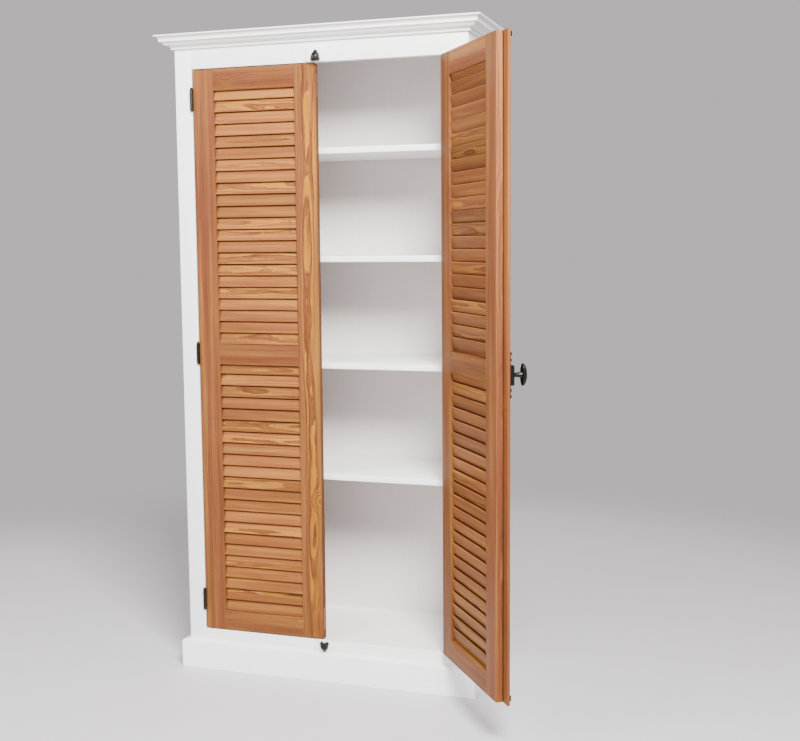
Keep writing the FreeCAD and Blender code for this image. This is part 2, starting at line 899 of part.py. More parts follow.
def door(side, word, hinge_cutters, meeting_cutters):
    """Stiles, tenoned rails and the two stacks of louvres of one door."""
    centre = side * (DOOR_OUTER + DOOR_INNER) / 2
    panel_half = (DOOR_OUTER - DOOR_INNER) / 2 - S.stile_width
    middle_low = MIDDLE_RAIL - S.middle_rail_height / 2
    middle_high = middle_low + S.middle_rail_height
    rails = {
        "top_rail": (DOOR_TOP - S.top_rail_height, DOOR_TOP),
        "middle_rail": (middle_low, middle_high),
        "bottom_rail": (DOOR_BOTTOM, DOOR_BOTTOM + S.foot_rail_height),
    }
    panels = {
        "upper": (middle_high, rails["top_rail"][0]),
        "lower": (rails["bottom_rail"][1], middle_low),
    }
    cutters = []
    for rail, levels in rails.items():
        solid, tenon = tenoned_rail(
            f"{word}_{rail}", panel_half, (FRONT, DOOR_BACK), levels,
            S.tenon_length, S.tenon_thickness, S.tenon_shoulder, centre,
        )
        door_node(solid, f"{word}_{rail}", side)
        cutters.append(tenon)
    for panel, opening in panels.items():
        slats = slat_stack(
            f"{word}_{panel}_slats", centre,
            panel_half + S.housing_depth - S.housing_clearance, opening, NONE,
        )
        door_node(slats, f"{word}_{panel}_slats", side)
        cutters.append(
            slat_stack(
                f"{word}_{panel}_housings", centre, panel_half + S.housing_depth, opening,
                S.housing_clearance,
            )
        )
    for name, outer, extra in (
        ("hinge_stile", DOOR_OUTER, hinge_cutters),
        ("meeting_stile", DOOR_INNER + S.stile_width, meeting_cutters),
    ):
        blank = board(
            f"{word}_{name}_blank",
            (side * outer, side * (outer - S.stile_width)),
            (FRONT, DOOR_BACK),
            (DOOR_BOTTOM, DOOR_TOP),
        )
        stile = trimmed(f"{word}_{name}", blank, cutters + extra)
        door_node(stile, f"{word}_{name}", side)


# ---------------------------------------------------------------- left door's flush bolts


def flush_bolt(word, up):
    """One bolt in the left door's meeting stile, its guide plate and the cutters for both.

    up is 1 for the upper bolt and -1 for the lower one.
    """
    end = DOOR_TOP if up > 0 else DOOR_BOTTOM
    x, y = FLUSH_BOLT_X, FLUSH_BOLT_Y
    edge = -DOOR_INNER
    tip = end + up * S.flush_bolt_proud
    tail = tip - up * S.flush_bolt_length
    bore_tail = tail - up * S.flush_bolt_fit
    thumb = S.flush_thumb
    thumb_low = tip - up * (S.flush_bolt_length - thumb * 2)
    bolt_rod = upright_rod(f"bolt_{word}", x, y, tail, tip, S.flush_bolt_diameter)
    lever = board(
        f"thumb_{word}",
        (x, edge - S.flush_thumb_setback),
        (y - thumb / 2, y + thumb / 2),
        (thumb_low, thumb_low + up * thumb),
    )
    bolt = fused(f"flush_bolt_{word}", [bolt_rod, lever])
    bore = upright_rod(
        f"bore_{word}", x, y, bore_tail, end, S.flush_bolt_diameter + 2 * S.flush_bolt_fit
    )
    slot_low = thumb_low - up * S.flush_bolt_fit
    slot_high = thumb_low + up * (thumb + S.flush_bolt_throw + S.flush_bolt_fit)
    slot = board(
        f"slot_{word}",
        (x, edge),
        (y - thumb / 2 - S.flush_bolt_fit, y + thumb / 2 + S.flush_bolt_fit),
        (slot_low, slot_high),
    )
    plate_middle = (slot_low + slot_high) / 2
    plate_blank = board(
        f"plate_{word}",
        (edge - S.flush_plate_thickness, edge),
        (y - S.flush_plate_width / 2, y + S.flush_plate_width / 2),
        (plate_middle - S.flush_plate_length / 2, plate_middle + S.flush_plate_length / 2),
    )
    plate = trimmed(f"flush_plate_{word}", plate_blank, [slot])
    return bolt, plate, [bore, slot, plate_blank]


def upright_rod(name, x, y, one, other, diameter):
    """A vertical cylinder between two levels given in either order."""
    low, high = (one, other) if one.number < other.number else (other, one)
    return rod(name, "z", x, y, low, diameter, high - low)


def strike(word, up):
    """A thin plate on the rail for one flush bolt, and the hole behind it."""
    edge = HEAD_RAIL_BOTTOM if up > 0 else FLOOR_TOP
    x, y = FLUSH_BOLT_X, FLUSH_BOLT_Y
    face = edge - up * S.strike_thickness
    blank = board(
        f"strike_blank_{word}",
        (x - S.strike_length / 2, x + S.strike_length / 2),
        (y - S.flush_plate_width / 2, y + S.flush_plate_width / 2),
        (face, edge),
    )
    hole = upright_rod(
        f"strike_hole_{word}", x, y, face, edge + up * (S.flush_bolt_throw + S.door_gap),
        S.flush_bolt_diameter + 2 * S.strike_fit,
    )
    return trimmed(f"strike_{word}", blank, [hole]), hole


# ---------------------------------------------------------------- right door's surface bolt


def half_round(name, end, other_end, width, height, base):
    """A bar with a flat back on the strip and a round front, between two levels."""
    low, high = (end, other_end) if end.number < other_end.number else (other_end, end)
    body = doc.addObject("PartDesign::Body", name)
    half = width / 2
    shoulder = base - (height - half)
    corners = [
        (BOLT_X - half, base),
        (BOLT_X - half, shoulder),
        (BOLT_X, base - height),
        (BOLT_X + half, shoulder),
        (BOLT_X + half, base),
    ]
    sketch = outline(body, "XY_Plane", f"{name}_section", corners, {1: half, 2: half}, offset=low)
    extruded(body, f"{name}_length", sketch, high - low)
    return body


def bolt_rod(word, up):
    """One rod of the surface bolt with its rack beside the pinion."""
    tip = (DOOR_TOP if up > 0 else DOOR_BOTTOM) - up * S.rod_end_gap
    foot_level = KNOB_Z + up * (PITCH_RADIUS + S.rack_gap)
    foot_end = foot_level + up * S.rack_thickness
    base = STRIP_FACE - S.rod_fit
    bar = half_round(f"{word}_rod_bar", foot_level, tip, S.rod_width, S.rod_height, base)
    rack_near = BOLT_X - up * (PITCH_RADIUS + S.rack_gap / 2)
    rack_far = rack_near - up * S.rack_thickness
    depth = (base - S.rod_height + S.rack_gap, base)
    foot = board(
        f"{word}_rod_foot", (BOLT_X + up * S.rod_width / 2, rack_far), depth, (foot_level, foot_end)
    )
    rack = board(
        f"{word}_rod_rack",
        (rack_near, rack_far),
        depth,
        (foot_end, KNOB_Z - up * S.rod_travel),
    )
    return fused(f"{word}_rod", [bar, foot, rack])


def lock_case():
    """Box over the pinion and racks, with turned collars round both rods."""
    around_racks = PITCH_RADIUS + S.rack_gap + S.rack_thickness + S.case_clearance
    half_width = around_racks + S.case_wall
    half_length = around_racks + S.rod_travel + S.case_wall
    shell = board(
        "case_shell",
        (BOLT_X - half_width, BOLT_X + half_width),
        (CASE_FACE, STRIP_FACE),
        (KNOB_Z - half_length, KNOB_Z + half_length),
    )
    solids = [shell]
    axis_y = STRIP_FACE - S.rod_height + S.rod_width / 2 - S.rod_fit
    for up in (1, -1):
        end = KNOB_Z + up * S.collar_reach
        inner = KNOB_Z + up * half_length
        solids.append(
            upright_rod(f"collar_{up}", BOLT_X, axis_y, inner, end, S.collar_diameter)
        )
        for place_on_collar in (0, 1):
            outer = end - up * S.bead_pitch * place_on_collar
            solids.append(
                upright_rod(
                    f"bead_{up}", BOLT_X, axis_y, outer - up * S.bead_length, outer, S.bead_diameter
                )
            )
    blank = fused("case_blank", solids)
    behind = board(
        "case_behind",
        (BOLT_X - S.strip_width, BOLT_X + S.strip_width),
        (STRIP_FACE, REAR),
        (KNOB_Z - S.collar_reach * 2, KNOB_Z + S.collar_reach * 2),
    )
    hollow = board(
        "case_hollow",
        (BOLT_X - half_width + S.case_wall, BOLT_X + half_width - S.case_wall),
        (CASE_FACE + S.case_wall, STRIP_FACE),
        (KNOB_Z - half_length + S.case_wall, KNOB_Z + half_length - S.case_wall),
    )
    channel = half_round(
        "case_channel",
        KNOB_Z - S.collar_reach,
        KNOB_Z + S.collar_reach,
        S.rod_width + 2 * S.rod_fit,
        S.rod_height + 2 * S.rod_fit,
        STRIP_FACE,
    )
    spindle_hole = rod(
        "case_spindle_hole", "y", BOLT_X, CASE_FACE, KNOB_Z,
        S.spindle_diameter + 2 * S.spindle_fit, S.case_wall,
    )
    case = trimmed("lock_case", blank, [behind, hollow, channel, spindle_hole])
    door_node(case, "lock_case", RIGHT)


def knob():
    """Oval knob on a flared neck, with the spindle and pinion that it turns."""
    pinion_radius = PITCH_RADIUS - S.rack_gap / 2
    pinion_front = STRIP_FACE - S.rod_fit - S.pinion_thickness
    toward_front = Rotation(Vector(1, 0, 0), 90)
    pinion = rod(
        "pinion", "y", BOLT_X, pinion_front, KNOB_Z, pinion_radius * 2, S.pinion_thickness
    )
    journal = rod(
        "journal", "y", BOLT_X, pinion_front, KNOB_Z, S.journal_diameter,
        STRIP_FACE - pinion_front + S.journal_depth,
    )
    neck_start = CASE_FACE - S.rack_gap
    spindle = rod(
        "spindle", "y", BOLT_X, neck_start, KNOB_Z, S.spindle_diameter, pinion_front - neck_start
    )
    neck = cone(
        "neck", toward_front, BOLT_X, neck_start, KNOB_Z,
        S.neck_diameter, S.neck_flare, S.neck_length + S.olive_back,
    )
    ridge = neck_start - S.neck_length - S.olive_back
    olive = doc.addObject("Part::Ellipsoid", "olive_blank")
    bind(olive, "Radius1", S.olive_dome)
    bind(olive, "Radius2", S.olive_width / 2)
    bind(olive, "Radius3", S.olive_height / 2)
    place(olive, BOLT_X, ridge, KNOB_Z, toward_front)
    behind = board(
        "olive_behind",
        (BOLT_X - S.olive_width, BOLT_X + S.olive_width),
        (ridge + S.olive_back, REAR),
        (KNOB_Z - S.olive_height, KNOB_Z + S.olive_height),
    )
    head = trimmed("olive", olive, [behind])
    door_node(fused("knob", [pinion, journal, spindle, neck, head]), "knob", RIGHT)


def rod_guides():
    """A staple over each rod near its end, held by two screws."""
    guides, screws = [], []
    turn = Rotation(Vector(1, 0, 0), -90)
    for up in (1, -1):
        door_end = DOOR_TOP if up > 0 else DOOR_BOTTOM
        end = door_end - up * S.guide_inset
        tail = end - up * S.guide_length
        low, high = (tail, end) if up > 0 else (end, tail)
        arch_width = S.rod_width + 2 * S.rod_fit + 2 * S.guide_wall
        arch = half_round(
            f"guide_arch_{up}", low, high, arch_width,
            S.rod_height + 2 * S.rod_fit + S.guide_wall, STRIP_FACE,
        )
        foot_half = arch_width / 2 + S.guide_foot
        feet = board(
            f"guide_feet_{up}",
            (BOLT_X - foot_half, BOLT_X + foot_half),
            (STRIP_FACE - S.guide_foot_thickness, STRIP_FACE),
            (low, high),
        )
        channel = half_round(
            f"guide_channel_{up}", low, high, S.rod_width + 2 * S.rod_fit,
            S.rod_height + 2 * S.rod_fit, STRIP_FACE,
        )
        guides.append(trimmed(f"guide_{up}", fused(f"guide_blank_{up}", [arch, feet]), [channel]))
        for side in (LEFT, RIGHT):
            x = BOLT_X + side * (arch_width + S.guide_foot) / 2
            screws.append(small_screw(f"guide_screw_{up}", turn, x, (low + high) / 2))
    cutter = grouped("guide_screw_cutter", screws)
    door_node(trimmed("rod_guides", grouped("guide_set", guides), [cutter]), "rod_guides", RIGHT)
    door_node(grouped("guide_screws", screws), "bolt_screws", RIGHT)
    return cutter


def small_screw(name, turn, x, z):
    """A round-headed screw through a guide's foot into the strip."""
    face = STRIP_FACE - S.guide_foot_thickness
    head = cone(
        f"{name}_head", turn, x, face - S.guide_screw_dome, z,
        S.guide_screw_shank, S.guide_screw_head, S.guide_screw_dome,
    )
    shank = cone(
        f"{name}_shank", turn, x, face, z,
        S.guide_screw_shank, S.guide_screw_tip, S.strip_thickness,
    )
    return fused(name, [head, shank])


def cover_strip(screws):
    """Flat strip on the right door's outer face, which laps over the left door."""
    blank = board(
        "cover_strip_blank",
        (BOLT_X - S.strip_width / 2, BOLT_X + S.strip_width / 2),
        (STRIP_FACE, FRONT),
        (DOOR_BOTTOM, DOOR_TOP),
    )
    journal_hole = rod(
        "journal_hole", "y", BOLT_X, STRIP_FACE, KNOB_Z,
        S.journal_diameter + 2 * S.spindle_fit, S.journal_depth,
    )
    door_node(trimmed("cover_strip", blank, [journal_hole, screws]), "cover_strip", RIGHT)


# ---------------------------------------------------------------- keepers on the face frame


def keeper(word, up):
    """Bell-shaped keeper with two ears on its packing block, open toward the door."""
    edge = HEAD_RAIL_BOTTOM if up > 0 else FLOOR_TOP
    block_end = (
        edge + S.keeper_rise + KEEPER_HEIGHT + S.keeper_block_over if up > 0 else S.plinth_height
    )
    block_half = S.keeper_block_width / 2
    block_blank = board(
        f"keeper_block_{word}_blank",
        (BOLT_X - block_half, BOLT_X + block_half),
        (STRIP_FACE, FRONT),
        (edge, block_end),
    )
    base = edge + up * S.keeper_rise
    body = doc.addObject("PartDesign::Body", f"keeper_{word}_blank")
    half = S.keeper_width / 2
    bell = [(half * out, KEEPER_HEIGHT * rise) for out, rise in KEEPER_BELL]
    right_side = [(BOLT_X + out, base + up * rise) for out, rise in bell]
    left_side = [(BOLT_X - out, base + up * rise) for out, rise in reversed(bell)]
    sketch = outline(
        body, "XZ_Plane", f"keeper_{word}_outline", right_side + left_side, offset=-STRIP_FACE
    )
    extruded(body, f"keeper_{word}_depth", sketch, S.keeper_depth)
    socket_half = S.rod_width / 2 + S.keeper_fit
    socket = board(
        f"keeper_{word}_socket",
        (BOLT_X - socket_half, BOLT_X + socket_half),
        (STRIP_FACE, STRIP_FACE - S.keeper_depth + S.keeper_wall),
        (base, base + up * S.keeper_socket),
    )
    turn = Rotation(Vector(1, 0, 0), -90)
    screws = []
    for side in (LEFT, RIGHT):
        screws.append(
            cone(
                f"keeper_{word}_screw", turn,
                BOLT_X + side * (socket_half + half) / 2, STRIP_FACE - S.keeper_depth,
                base + up * KEEPER_HEIGHT * KEEPER_EAR,
                S.keeper_screw_head, S.keeper_screw_tip,
                S.keeper_depth + S.keeper_screw_length,
            )
        )
    group = grouped(f"keeper_{word}_screws", screws)
    node(trimmed(f"keeper_{word}", body, [socket, group]), f"keeper_{word}")
    node(trimmed(f"keeper_block_{word}", block_blank, [group]), f"keeper_block_{word}")
    return screws


# ---------------------------------------------------------------- the whole cabinet


def cabinet():
    """Builds every piece of the cabinet."""
    carcass_panels()
    shelves()
    mitred_moulding(
        "cornice", cornice_profile, S.cornice_reach, (TOP - S.cornice_height, TOP)
    )
    mitred_moulding("plinth", plinth_profile, S.plinth_thickness, (NONE, S.plinth_height))

    keeper_screws = {"top": keeper("top", 1), "bottom": keeper("bottom", -1)}
    node(grouped("keeper_screws", keeper_screws["top"] + keeper_screws["bottom"]), "keeper_screws")
    strike_top, hole_top = strike("top", 1)
    strike_bottom, hole_bottom = strike("bottom", -1)
    node(grouped("strike_plates", [strike_top, strike_bottom]), "strike_plates")

    screws = hinges()
    face_frame(
        screws[LEFT][0],
        screws[RIGHT][0],
        {
            "top": [hole_top] + keeper_screws["top"],
            "bottom": [hole_bottom] + keeper_screws["bottom"],
        },
    )

    upper, upper_plate, upper_cutters = flush_bolt("upper", 1)
    lower, lower_plate, lower_cutters = flush_bolt("lower", -1)
    node(upper, "flush_bolt_upper")
    node(lower, "flush_bolt_lower")
    node(grouped("flush_bolt_plates", [upper_plate, lower_plate]), "flush_bolt_plates")

    door(LEFT, "left", screws[LEFT][1], upper_cutters + lower_cutters)
    guide_screws = rod_guides()
    door(RIGHT, "right", screws[RIGHT][1], [])
    cover_strip(guide_screws)
    lock_case()
    knob()
    for word, up in (("upper", 1), ("lower", -1)):
        door_node(bolt_rod(word, up), f"{word}_rod", RIGHT)


def check_objects():
    """Stops where an object failed to build, or a piece is null or not valid."""
    for thing in doc.Objects:
        if "Invalid" in thing.State or "Error" in thing.State:
            raise RuntimeError(f"{thing.Name} failed: {thing.State}")
    for thing in NODES:
        if thing.Shape.isNull() or not thing.Shape.isValid():
            raise RuntimeError(f"{thing.Label} has no valid shape")


def main():
    """Builds the cabinet and writes one STEP file for each piece."""
    cabinet()
    doc.recompute()
    check_objects()
    os.makedirs("parts", exist_ok=True)
    for thing in NODES:
        thing.Shape.exportStep(f"parts/{thing.Label}.step")
    print(len(NODES), "pieces,", sum(len(thing.Shape.Solids) for thing in NODES), "solids")


main()
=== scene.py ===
"""Louvred door cabinet: painted carcass, stained spruce doors and dark ironwork."""

import json
import logging
import math
import random
from collections.abc import Callable, Iterator, Sequence
from contextlib import contextmanager
from dataclasses import dataclass, field
from enum import Enum
from functools import partial
from typing import Any

import bpy
import numpy as np
from mathutils import Matrix, Vector


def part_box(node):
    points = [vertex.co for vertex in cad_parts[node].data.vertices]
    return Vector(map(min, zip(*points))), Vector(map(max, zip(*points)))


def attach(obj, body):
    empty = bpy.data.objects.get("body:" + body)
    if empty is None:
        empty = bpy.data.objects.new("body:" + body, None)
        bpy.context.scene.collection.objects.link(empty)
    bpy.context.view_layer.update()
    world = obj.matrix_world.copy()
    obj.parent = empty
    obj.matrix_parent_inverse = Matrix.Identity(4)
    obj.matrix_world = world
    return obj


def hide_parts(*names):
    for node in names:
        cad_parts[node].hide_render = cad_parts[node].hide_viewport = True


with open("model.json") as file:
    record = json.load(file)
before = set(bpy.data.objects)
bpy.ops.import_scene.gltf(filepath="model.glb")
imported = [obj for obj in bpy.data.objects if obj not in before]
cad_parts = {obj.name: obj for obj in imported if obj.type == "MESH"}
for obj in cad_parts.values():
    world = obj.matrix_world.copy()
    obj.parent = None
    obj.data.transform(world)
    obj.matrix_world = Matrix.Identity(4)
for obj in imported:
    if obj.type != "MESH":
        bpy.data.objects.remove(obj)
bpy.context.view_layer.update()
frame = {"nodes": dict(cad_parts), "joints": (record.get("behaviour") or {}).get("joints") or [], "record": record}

LOG = logging.getLogger("louvred_door_cabinet")
MM = 0.001
UPWARDS = (0.0, 0.0, 0.0)
DOWNWARDS = (math.pi, 0.0, 0.0)
FORWARDS = (math.pi / 2, 0.0, 0.0)

Point = tuple[float, float, float]
Section = Sequence[tuple[float, float]]
Box = tuple[Vector, Vector]
Thing = bpy.types.Object
Material = bpy.types.Material
Socket = bpy.types.NodeSocket
AddNode = Callable[..., Socket]
EdgeTest = Callable[[Vector, Vector], bool]


# ------------------------------------------------------------------------------------- choices


class Side(Enum):
    """Which door a piece belongs to; the value is its sign along X."""

    LEFT = -1
    RIGHT = 1

    @property
    def word(self) -> str:
        """The side's name as the nodes spell it."""
        return self.name.lower()

    @property
    def body(self) -> str:
        """The body that this side's door is."""
        return f"{self.word}_door"


class Level(Enum):
    """Upper or lower end of a door; the value is its sign along Z."""

    UPPER = 1
    LOWER = -1

    @property
    def word(self) -> str:
        """The end's name as the nodes spell it."""
        return self.name.lower()

    @property
    def turn(self) -> Point:
        """Rotation that points a turned shape away from the middle of the door."""
        return UPWARDS if self is Level.UPPER else DOWNWARDS


class Stroke(Enum):
    """The way a painted board runs: the pattern's scale along X, Y and Z, per metre."""

    ACROSS = (7.0, 330.0, 330.0)
    DEEP = (330.0, 7.0, 330.0)
    UPRIGHT = (330.0, 330.0, 7.0)


class Pattern(Enum):
    """Patterns in the wood: how many a metre holds across, through and along the board."""

    WANDER = (8.0, 8.0, 2.2)  # the heart wanders within 125 mm
    DRIFT = (30.0, 30.0, 5.0)  # the rings drift apart over 33 mm
    RAGGED = (110.0, 110.0, 16.0)  # the rings' edges are ragged over 9 mm
    PATCH = (22.0, 22.0, 3.2)  # golden figure shows in patches 45 mm wide
    STREAK = (55.0, 55.0, 1.4)  # redder and paler streaks 18 mm wide
    BLOTCH = (14.0, 14.0, 2.4)  # the stain took unevenly over 71 mm
    BRUSHED = (700.0, 700.0, 18.0)  # brush marks 1.4 mm wide
    KNOTS = (13.0, 0.5, 7.5)  # cells 77 mm wide and 133 mm long, some with a knot


# ------------------------------------------------------------------------------------- materials


def linear(code: str) -> tuple[float, float, float, float]:
    """Turns an sRGB hex colour into the linear values that shaders take.

    Args:
        code: Colour such as "#C4895A".

    Returns:
        Red, green, blue and an alpha of 1.
    """
    channels = (int(code[i : i + 2], 16) / 255 for i in (1, 3, 5))
    red, green, blue = (c / 12.92 if c <= 0.04045 else ((c + 0.055) / 1.055) ** 2.4 for c in channels)
    return red, green, blue, 1.0


def add_node(
    tree: bpy.types.NodeTree,
    kind: str,
    *values: Any,
    sockets: dict[str, Any] | None = None,
    stops: Sequence[tuple[float, str]] = (),
    output: str = "",
    **settings: Any,
) -> Socket | None:
    """Adds one shader node with its settings and links.

    Args:
        tree: Node tree that the node goes into.
        kind: Blender's name for the node, without the leading ShaderNode.
        *values: What the inputs in use take, in order: a plain value, a hex colour, or the
            output that feeds it.
        sockets: The same for inputs that are called by name.
        stops: Places and hex colours for a node that holds a colour ramp.
        output: Name of the wanted output, where it isn't the first one in use.
        **settings: Properties of the node itself.

    Returns:
        The wanted output, or None for a node that has no outputs.
    """
    made = tree.nodes.new(f"ShaderNode{kind}")
    for name, value in settings.items():
        setattr(made, name, value)
    pairs = list(zip((socket for socket in made.inputs if socket.enabled), values))
    pairs += [(made.inputs[name], value) for name, value in (sockets or {}).items()]
    for socket, value in pairs:
        if isinstance(value, Socket):
            tree.links.new(value, socket)
        else:
            socket.default_value = linear(value) if isinstance(value, str) else value
    if stops:
        elements = made.color_ramp.elements
        while len(elements) < len(stops):
            elements.new(1.0)
        for element, (place, code) in zip(elements, stops):
            element.position = place
            element.color = linear(code)
    if output:
        return made.outputs[output]
    return next((socket for socket in made.outputs if socket.enabled), None)


def blank_material(name: str) -> tuple[Material, AddNode]:
    """Makes an empty node material.

    Args:
        name: The material's name.

    Returns:
        The material, and add_node for its tree.
    """
    material = bpy.data.materials.new(name)
    material.use_nodes = True
    material.node_tree.nodes.clear()
    return material, partial(add_node, material.node_tree)


@dataclass(frozen=True)
class StainedSpruce:
    """Spruce, brushed, stained honey brown and sealed with satin varnish.

    A board that is cut near a ring's tangent shows golden flames with dark outlines, and one cut
    square to the rings shows fine straight stripes in an even brown. Painted shade darkens the
    lapped faces of the louvres and the corners and joints where shadow falls.

    Attributes:
        name: Name of the wood and of how it was finished.
        light: Early wood.
        honey: Broad paler streaks.
        body: Main brown.
        stripe: Late wood of a plain board.
        gold: Widest bands of a figured board.
        pale: Worn edge of the golden bands.
        outline: Late wood round the golden bands.
        russet: Broad redder streaks.
        knot: Core of a knot.
        dust: Painted shade inside the laps, a dark brown for the shadow in the overlap.
        lap: How much of the lapped faces the painted shade covers.
        lap_mm: Where the painted shade starts and where it is darkest, from the middle of a slat's width.
        slat_half_mm: Half a slat's thickness, a little inside its faces.
        ring_mm: Width of one year's growth.
        wander_mm: How far the heart of the log wanders.
        fibre_mm: Width of the fine streaks, coarser than real fibres so that they show.
        fibre_stretch: How many times longer than wide a fine streak is.
        knot_share: Share of the knot cells that hold a knot.
        knot_reach: Edge of a knot's core and of its full darkness, as shares of a cell.
        swirl_reach: The same for the field in which the rings swirl.
        swirl_years: How many rings a knot pushes aside.
        tangency: Where the golden figure starts and where it is full, from 0 for a face across
            the rings to 1 for one along them.
        log: Size of the wood that the boards are taken from, in metres.
        roughness: Mean roughness of the varnish.
        relief_mm: How far late wood stands proud.
    """

    name: str
    light: str = "#7F502C"
    honey: str = "#845929"
    body: str = "#6F4127"
    stripe: str = "#522D1A"
    gold: str = "#9E6612"
    pale: str = "#A8702A"
    outline: str = "#46260F"
    russet: str = "#5D3020"
    knot: str = "#22120A"
    dust: str = "#382019"
    lap: float = 0.0
    lap_mm: tuple[float, float] = (10.6, 13.2)
    slat_half_mm: float = 2.7
    ring_mm: float = 5.4
    wander_mm: float = 11.0
    fibre_mm: float = 2.4
    fibre_stretch: float = 50.0
    knot_share: float = 0.12
    knot_reach: tuple[float, float] = (0.055, 0.02)
    swirl_reach: tuple[float, float] = (0.36, 0.03)
    swirl_years: float = 2.6
    tangency: tuple[float, float] = (0.84, 0.97)
    log: Point = (3.0, 5.0, 9.0)
    roughness: float = 0.48
    relief_mm: float = 0.2

    def material(self) -> Material:
        """Builds the wood from a log's rings, read along each board's own grain.

        Returns:
            The material.
        """
        material, add = blank_material(self.name)
        grain = add("Attribute", output="Vector", attribute_name="grain")
        cut = add("Attribute", output="Vector", attribute_name="cut")
        luck = add("TexWhiteNoise", cut, output="Color", noise_dimensions="3D")
        placed = add("VectorMath", luck, self.log, grain, operation="MULTIPLY_ADD")
        knot, swirl = self._knots(add, placed)
        year, figure = self._rings(add, grain, cut, placed, swirl)
        colour = self._colour(add, year, figure, cut, placed, knot)
        self._surface(add, self._gathered(add, self._laps(add, grain, colour)), year, placed)
        return material

    def _drawn_out(
        self, add: AddNode, placed: Socket, scale: Point, detail: float = 2.0, output: str = "Fac"
    ) -> Socket:
        """Draws an uneven pattern out along the board.

        Args:
            add: Adds a node to the wood.
            placed: Place in the log, in metres.
            scale: Patterns per metre across, through and along.
            detail: Finer layers in the pattern.
            output: Fac for a value round 0.5, Color for three of them.

        Returns:
            The pattern.
        """
        stretched = add("Mapping", placed, sockets={"Scale": scale})
        return add("TexNoise", stretched, 1.0, detail, output=output)

    def _knots(self, add: AddNode, placed: Socket) -> tuple[Socket, Socket]:
        """Places the few small knots.

        Args:
            add: Adds a node to the wood.
            placed: Place in the log, in metres.

        Returns:
            The knots' cores, and the wider field in which the rings swirl, both from 0 to 1.
        """
        spread = add("Mapping", placed, sockets={"Scale": Pattern.KNOTS.value})
        cells = add("TexVoronoi", spread, 1.0)
        chance = add("SeparateColor", cells.node.outputs["Color"])
        chosen = add("Math", chance, 1.0 - self.knot_share, operation="GREATER_THAN")
        core, swirl = (
            add(
                "Math",
                add("MapRange", cells, *reach, interpolation_type="SMOOTHERSTEP"),
                chosen,
                operation="MULTIPLY",
            )
            for reach in (self.knot_reach, self.swirl_reach)
        )
        return core, swirl

    def _rings(
        self, add: AddNode, grain: Socket, cut: Socket, placed: Socket, swirl: Socket
    ) -> tuple[Socket, Socket]:
        """Draws the year rings round a wandering heart.

        Args:
            add: Adds a node to the wood.
            grain: Place on the board, in metres.
            cut: Where the heart lies beside and behind the board.
            placed: Place in the log, in metres.
            swirl: Field round the knots.

        Returns:
            Place within a year's ring, and how nearly the face runs along the rings.
        """
        wobble = self._drawn_out(add, placed, Pattern.WANDER.value, output="Color")
        centred = add("VectorMath", wobble, (0.5, 0.5, 0.5), operation="SUBTRACT")
        reach = self.wander_mm * MM * 3.0
        bent = add("VectorMath", centred, (reach, reach, 0.0), grain, operation="MULTIPLY_ADD")
        heart = add("VectorMath", bent, cut, operation="ADD")
        flat = add("VectorMath", heart, (1.0, 1.0, 0.0), operation="MULTIPLY")
        radius = add("VectorMath", flat, operation="LENGTH")
        behind = add("SeparateXYZ", flat, output="Y")
        tangency = add("Math", behind, radius, operation="DIVIDE")
        figure = add("MapRange", tangency, *self.tangency, interpolation_type="SMOOTHSTEP")
        ragged = self._drawn_out(add, placed, Pattern.RAGGED.value, 5.0)
        drift = self._drawn_out(add, placed, Pattern.DRIFT.value, 1.0)
        count = add("Math", radius, 1.0 / (self.ring_mm * MM), drift, operation="MULTIPLY_ADD")
        rough = add("Math", ragged, 0.8, count, operation="MULTIPLY_ADD")
        turned = add("Math", swirl, self.swirl_years, rough, operation="MULTIPLY_ADD")
        year = add("Math", turned, operation="FRACT")
        return year, add("Math", figure, swirl, operation="MAXIMUM")

    def _colour(
        self,
        add: AddNode,
        year: Socket,
        figure: Socket,
        cut: Socket,
        placed: Socket,
        knot: Socket,
    ) -> Socket:
        """Stains the rings, with streaks, blotches, knots and each board's tone.

        Args:
            add: Adds a node to the wood.
            year: Place within a year's ring.
            figure: How nearly the face runs along the rings.
            cut: Holds each board's tone in its Z.
            placed: Place in the log, in metres.
            knot: Cores of the knots.

        Returns:
            The colour.
        """
        plain = add(
            "ValToRGB",
            year,
            stops=((0.0, self.light), (0.5, self.body), (0.84, self.stripe), (1.0, self.light)),
        )
        figured = add(
            "ValToRGB",
            year,
            stops=(
                (0.0, self.gold),
                (0.36, self.gold),
                (0.395, self.pale),
                (0.415, self.pale),
                (0.455, self.outline),
                (0.54, self.body),
                (0.9, self.outline),
                (0.98, self.light),
            ),
        )
        patch = self._drawn_out(add, placed, Pattern.PATCH.value)
        showing = add("MapRange", patch, 0.44, 0.5, 0.12)
        share = add("Math", figure, showing, operation="MULTIPLY")
        broad = self._drawn_out(add, placed, Pattern.STREAK.value, 3.0)
        redder = add("MapRange", broad, 0.48, 0.64, 0.0, 0.85)
        paler = add("MapRange", broad, 0.5, 0.36, 0.0, 0.8)
        reddened = add("Mix", redder, plain, self.russet, data_type="RGBA")
        banded = add("Mix", paler, reddened, self.honey, data_type="RGBA")
        rings = add("Mix", share, banded, figured, data_type="RGBA")
        fibre = 1.0 / (self.fibre_mm * MM)
        fibres = self._drawn_out(add, placed, (fibre, fibre, fibre / self.fibre_stretch))
        blotch = self._drawn_out(add, placed, Pattern.BLOTCH.value, 3.0)
        streak = add("MapRange", fibres, 0.3, 0.7, -0.2, 0.2)
        cloud = add("MapRange", blotch, 0.3, 0.7, 0.84, 1.16)
        value = add("Math", streak, cloud, operation="ADD")
        own = add("SeparateXYZ", cut, output="Z")
        tone = add("Math", value, own, operation="ADD")
        toned = add("HueSaturation", sockets={"Value": tone, "Color": rings})
        return add("Mix", knot, toned, self.knot, data_type="RGBA")

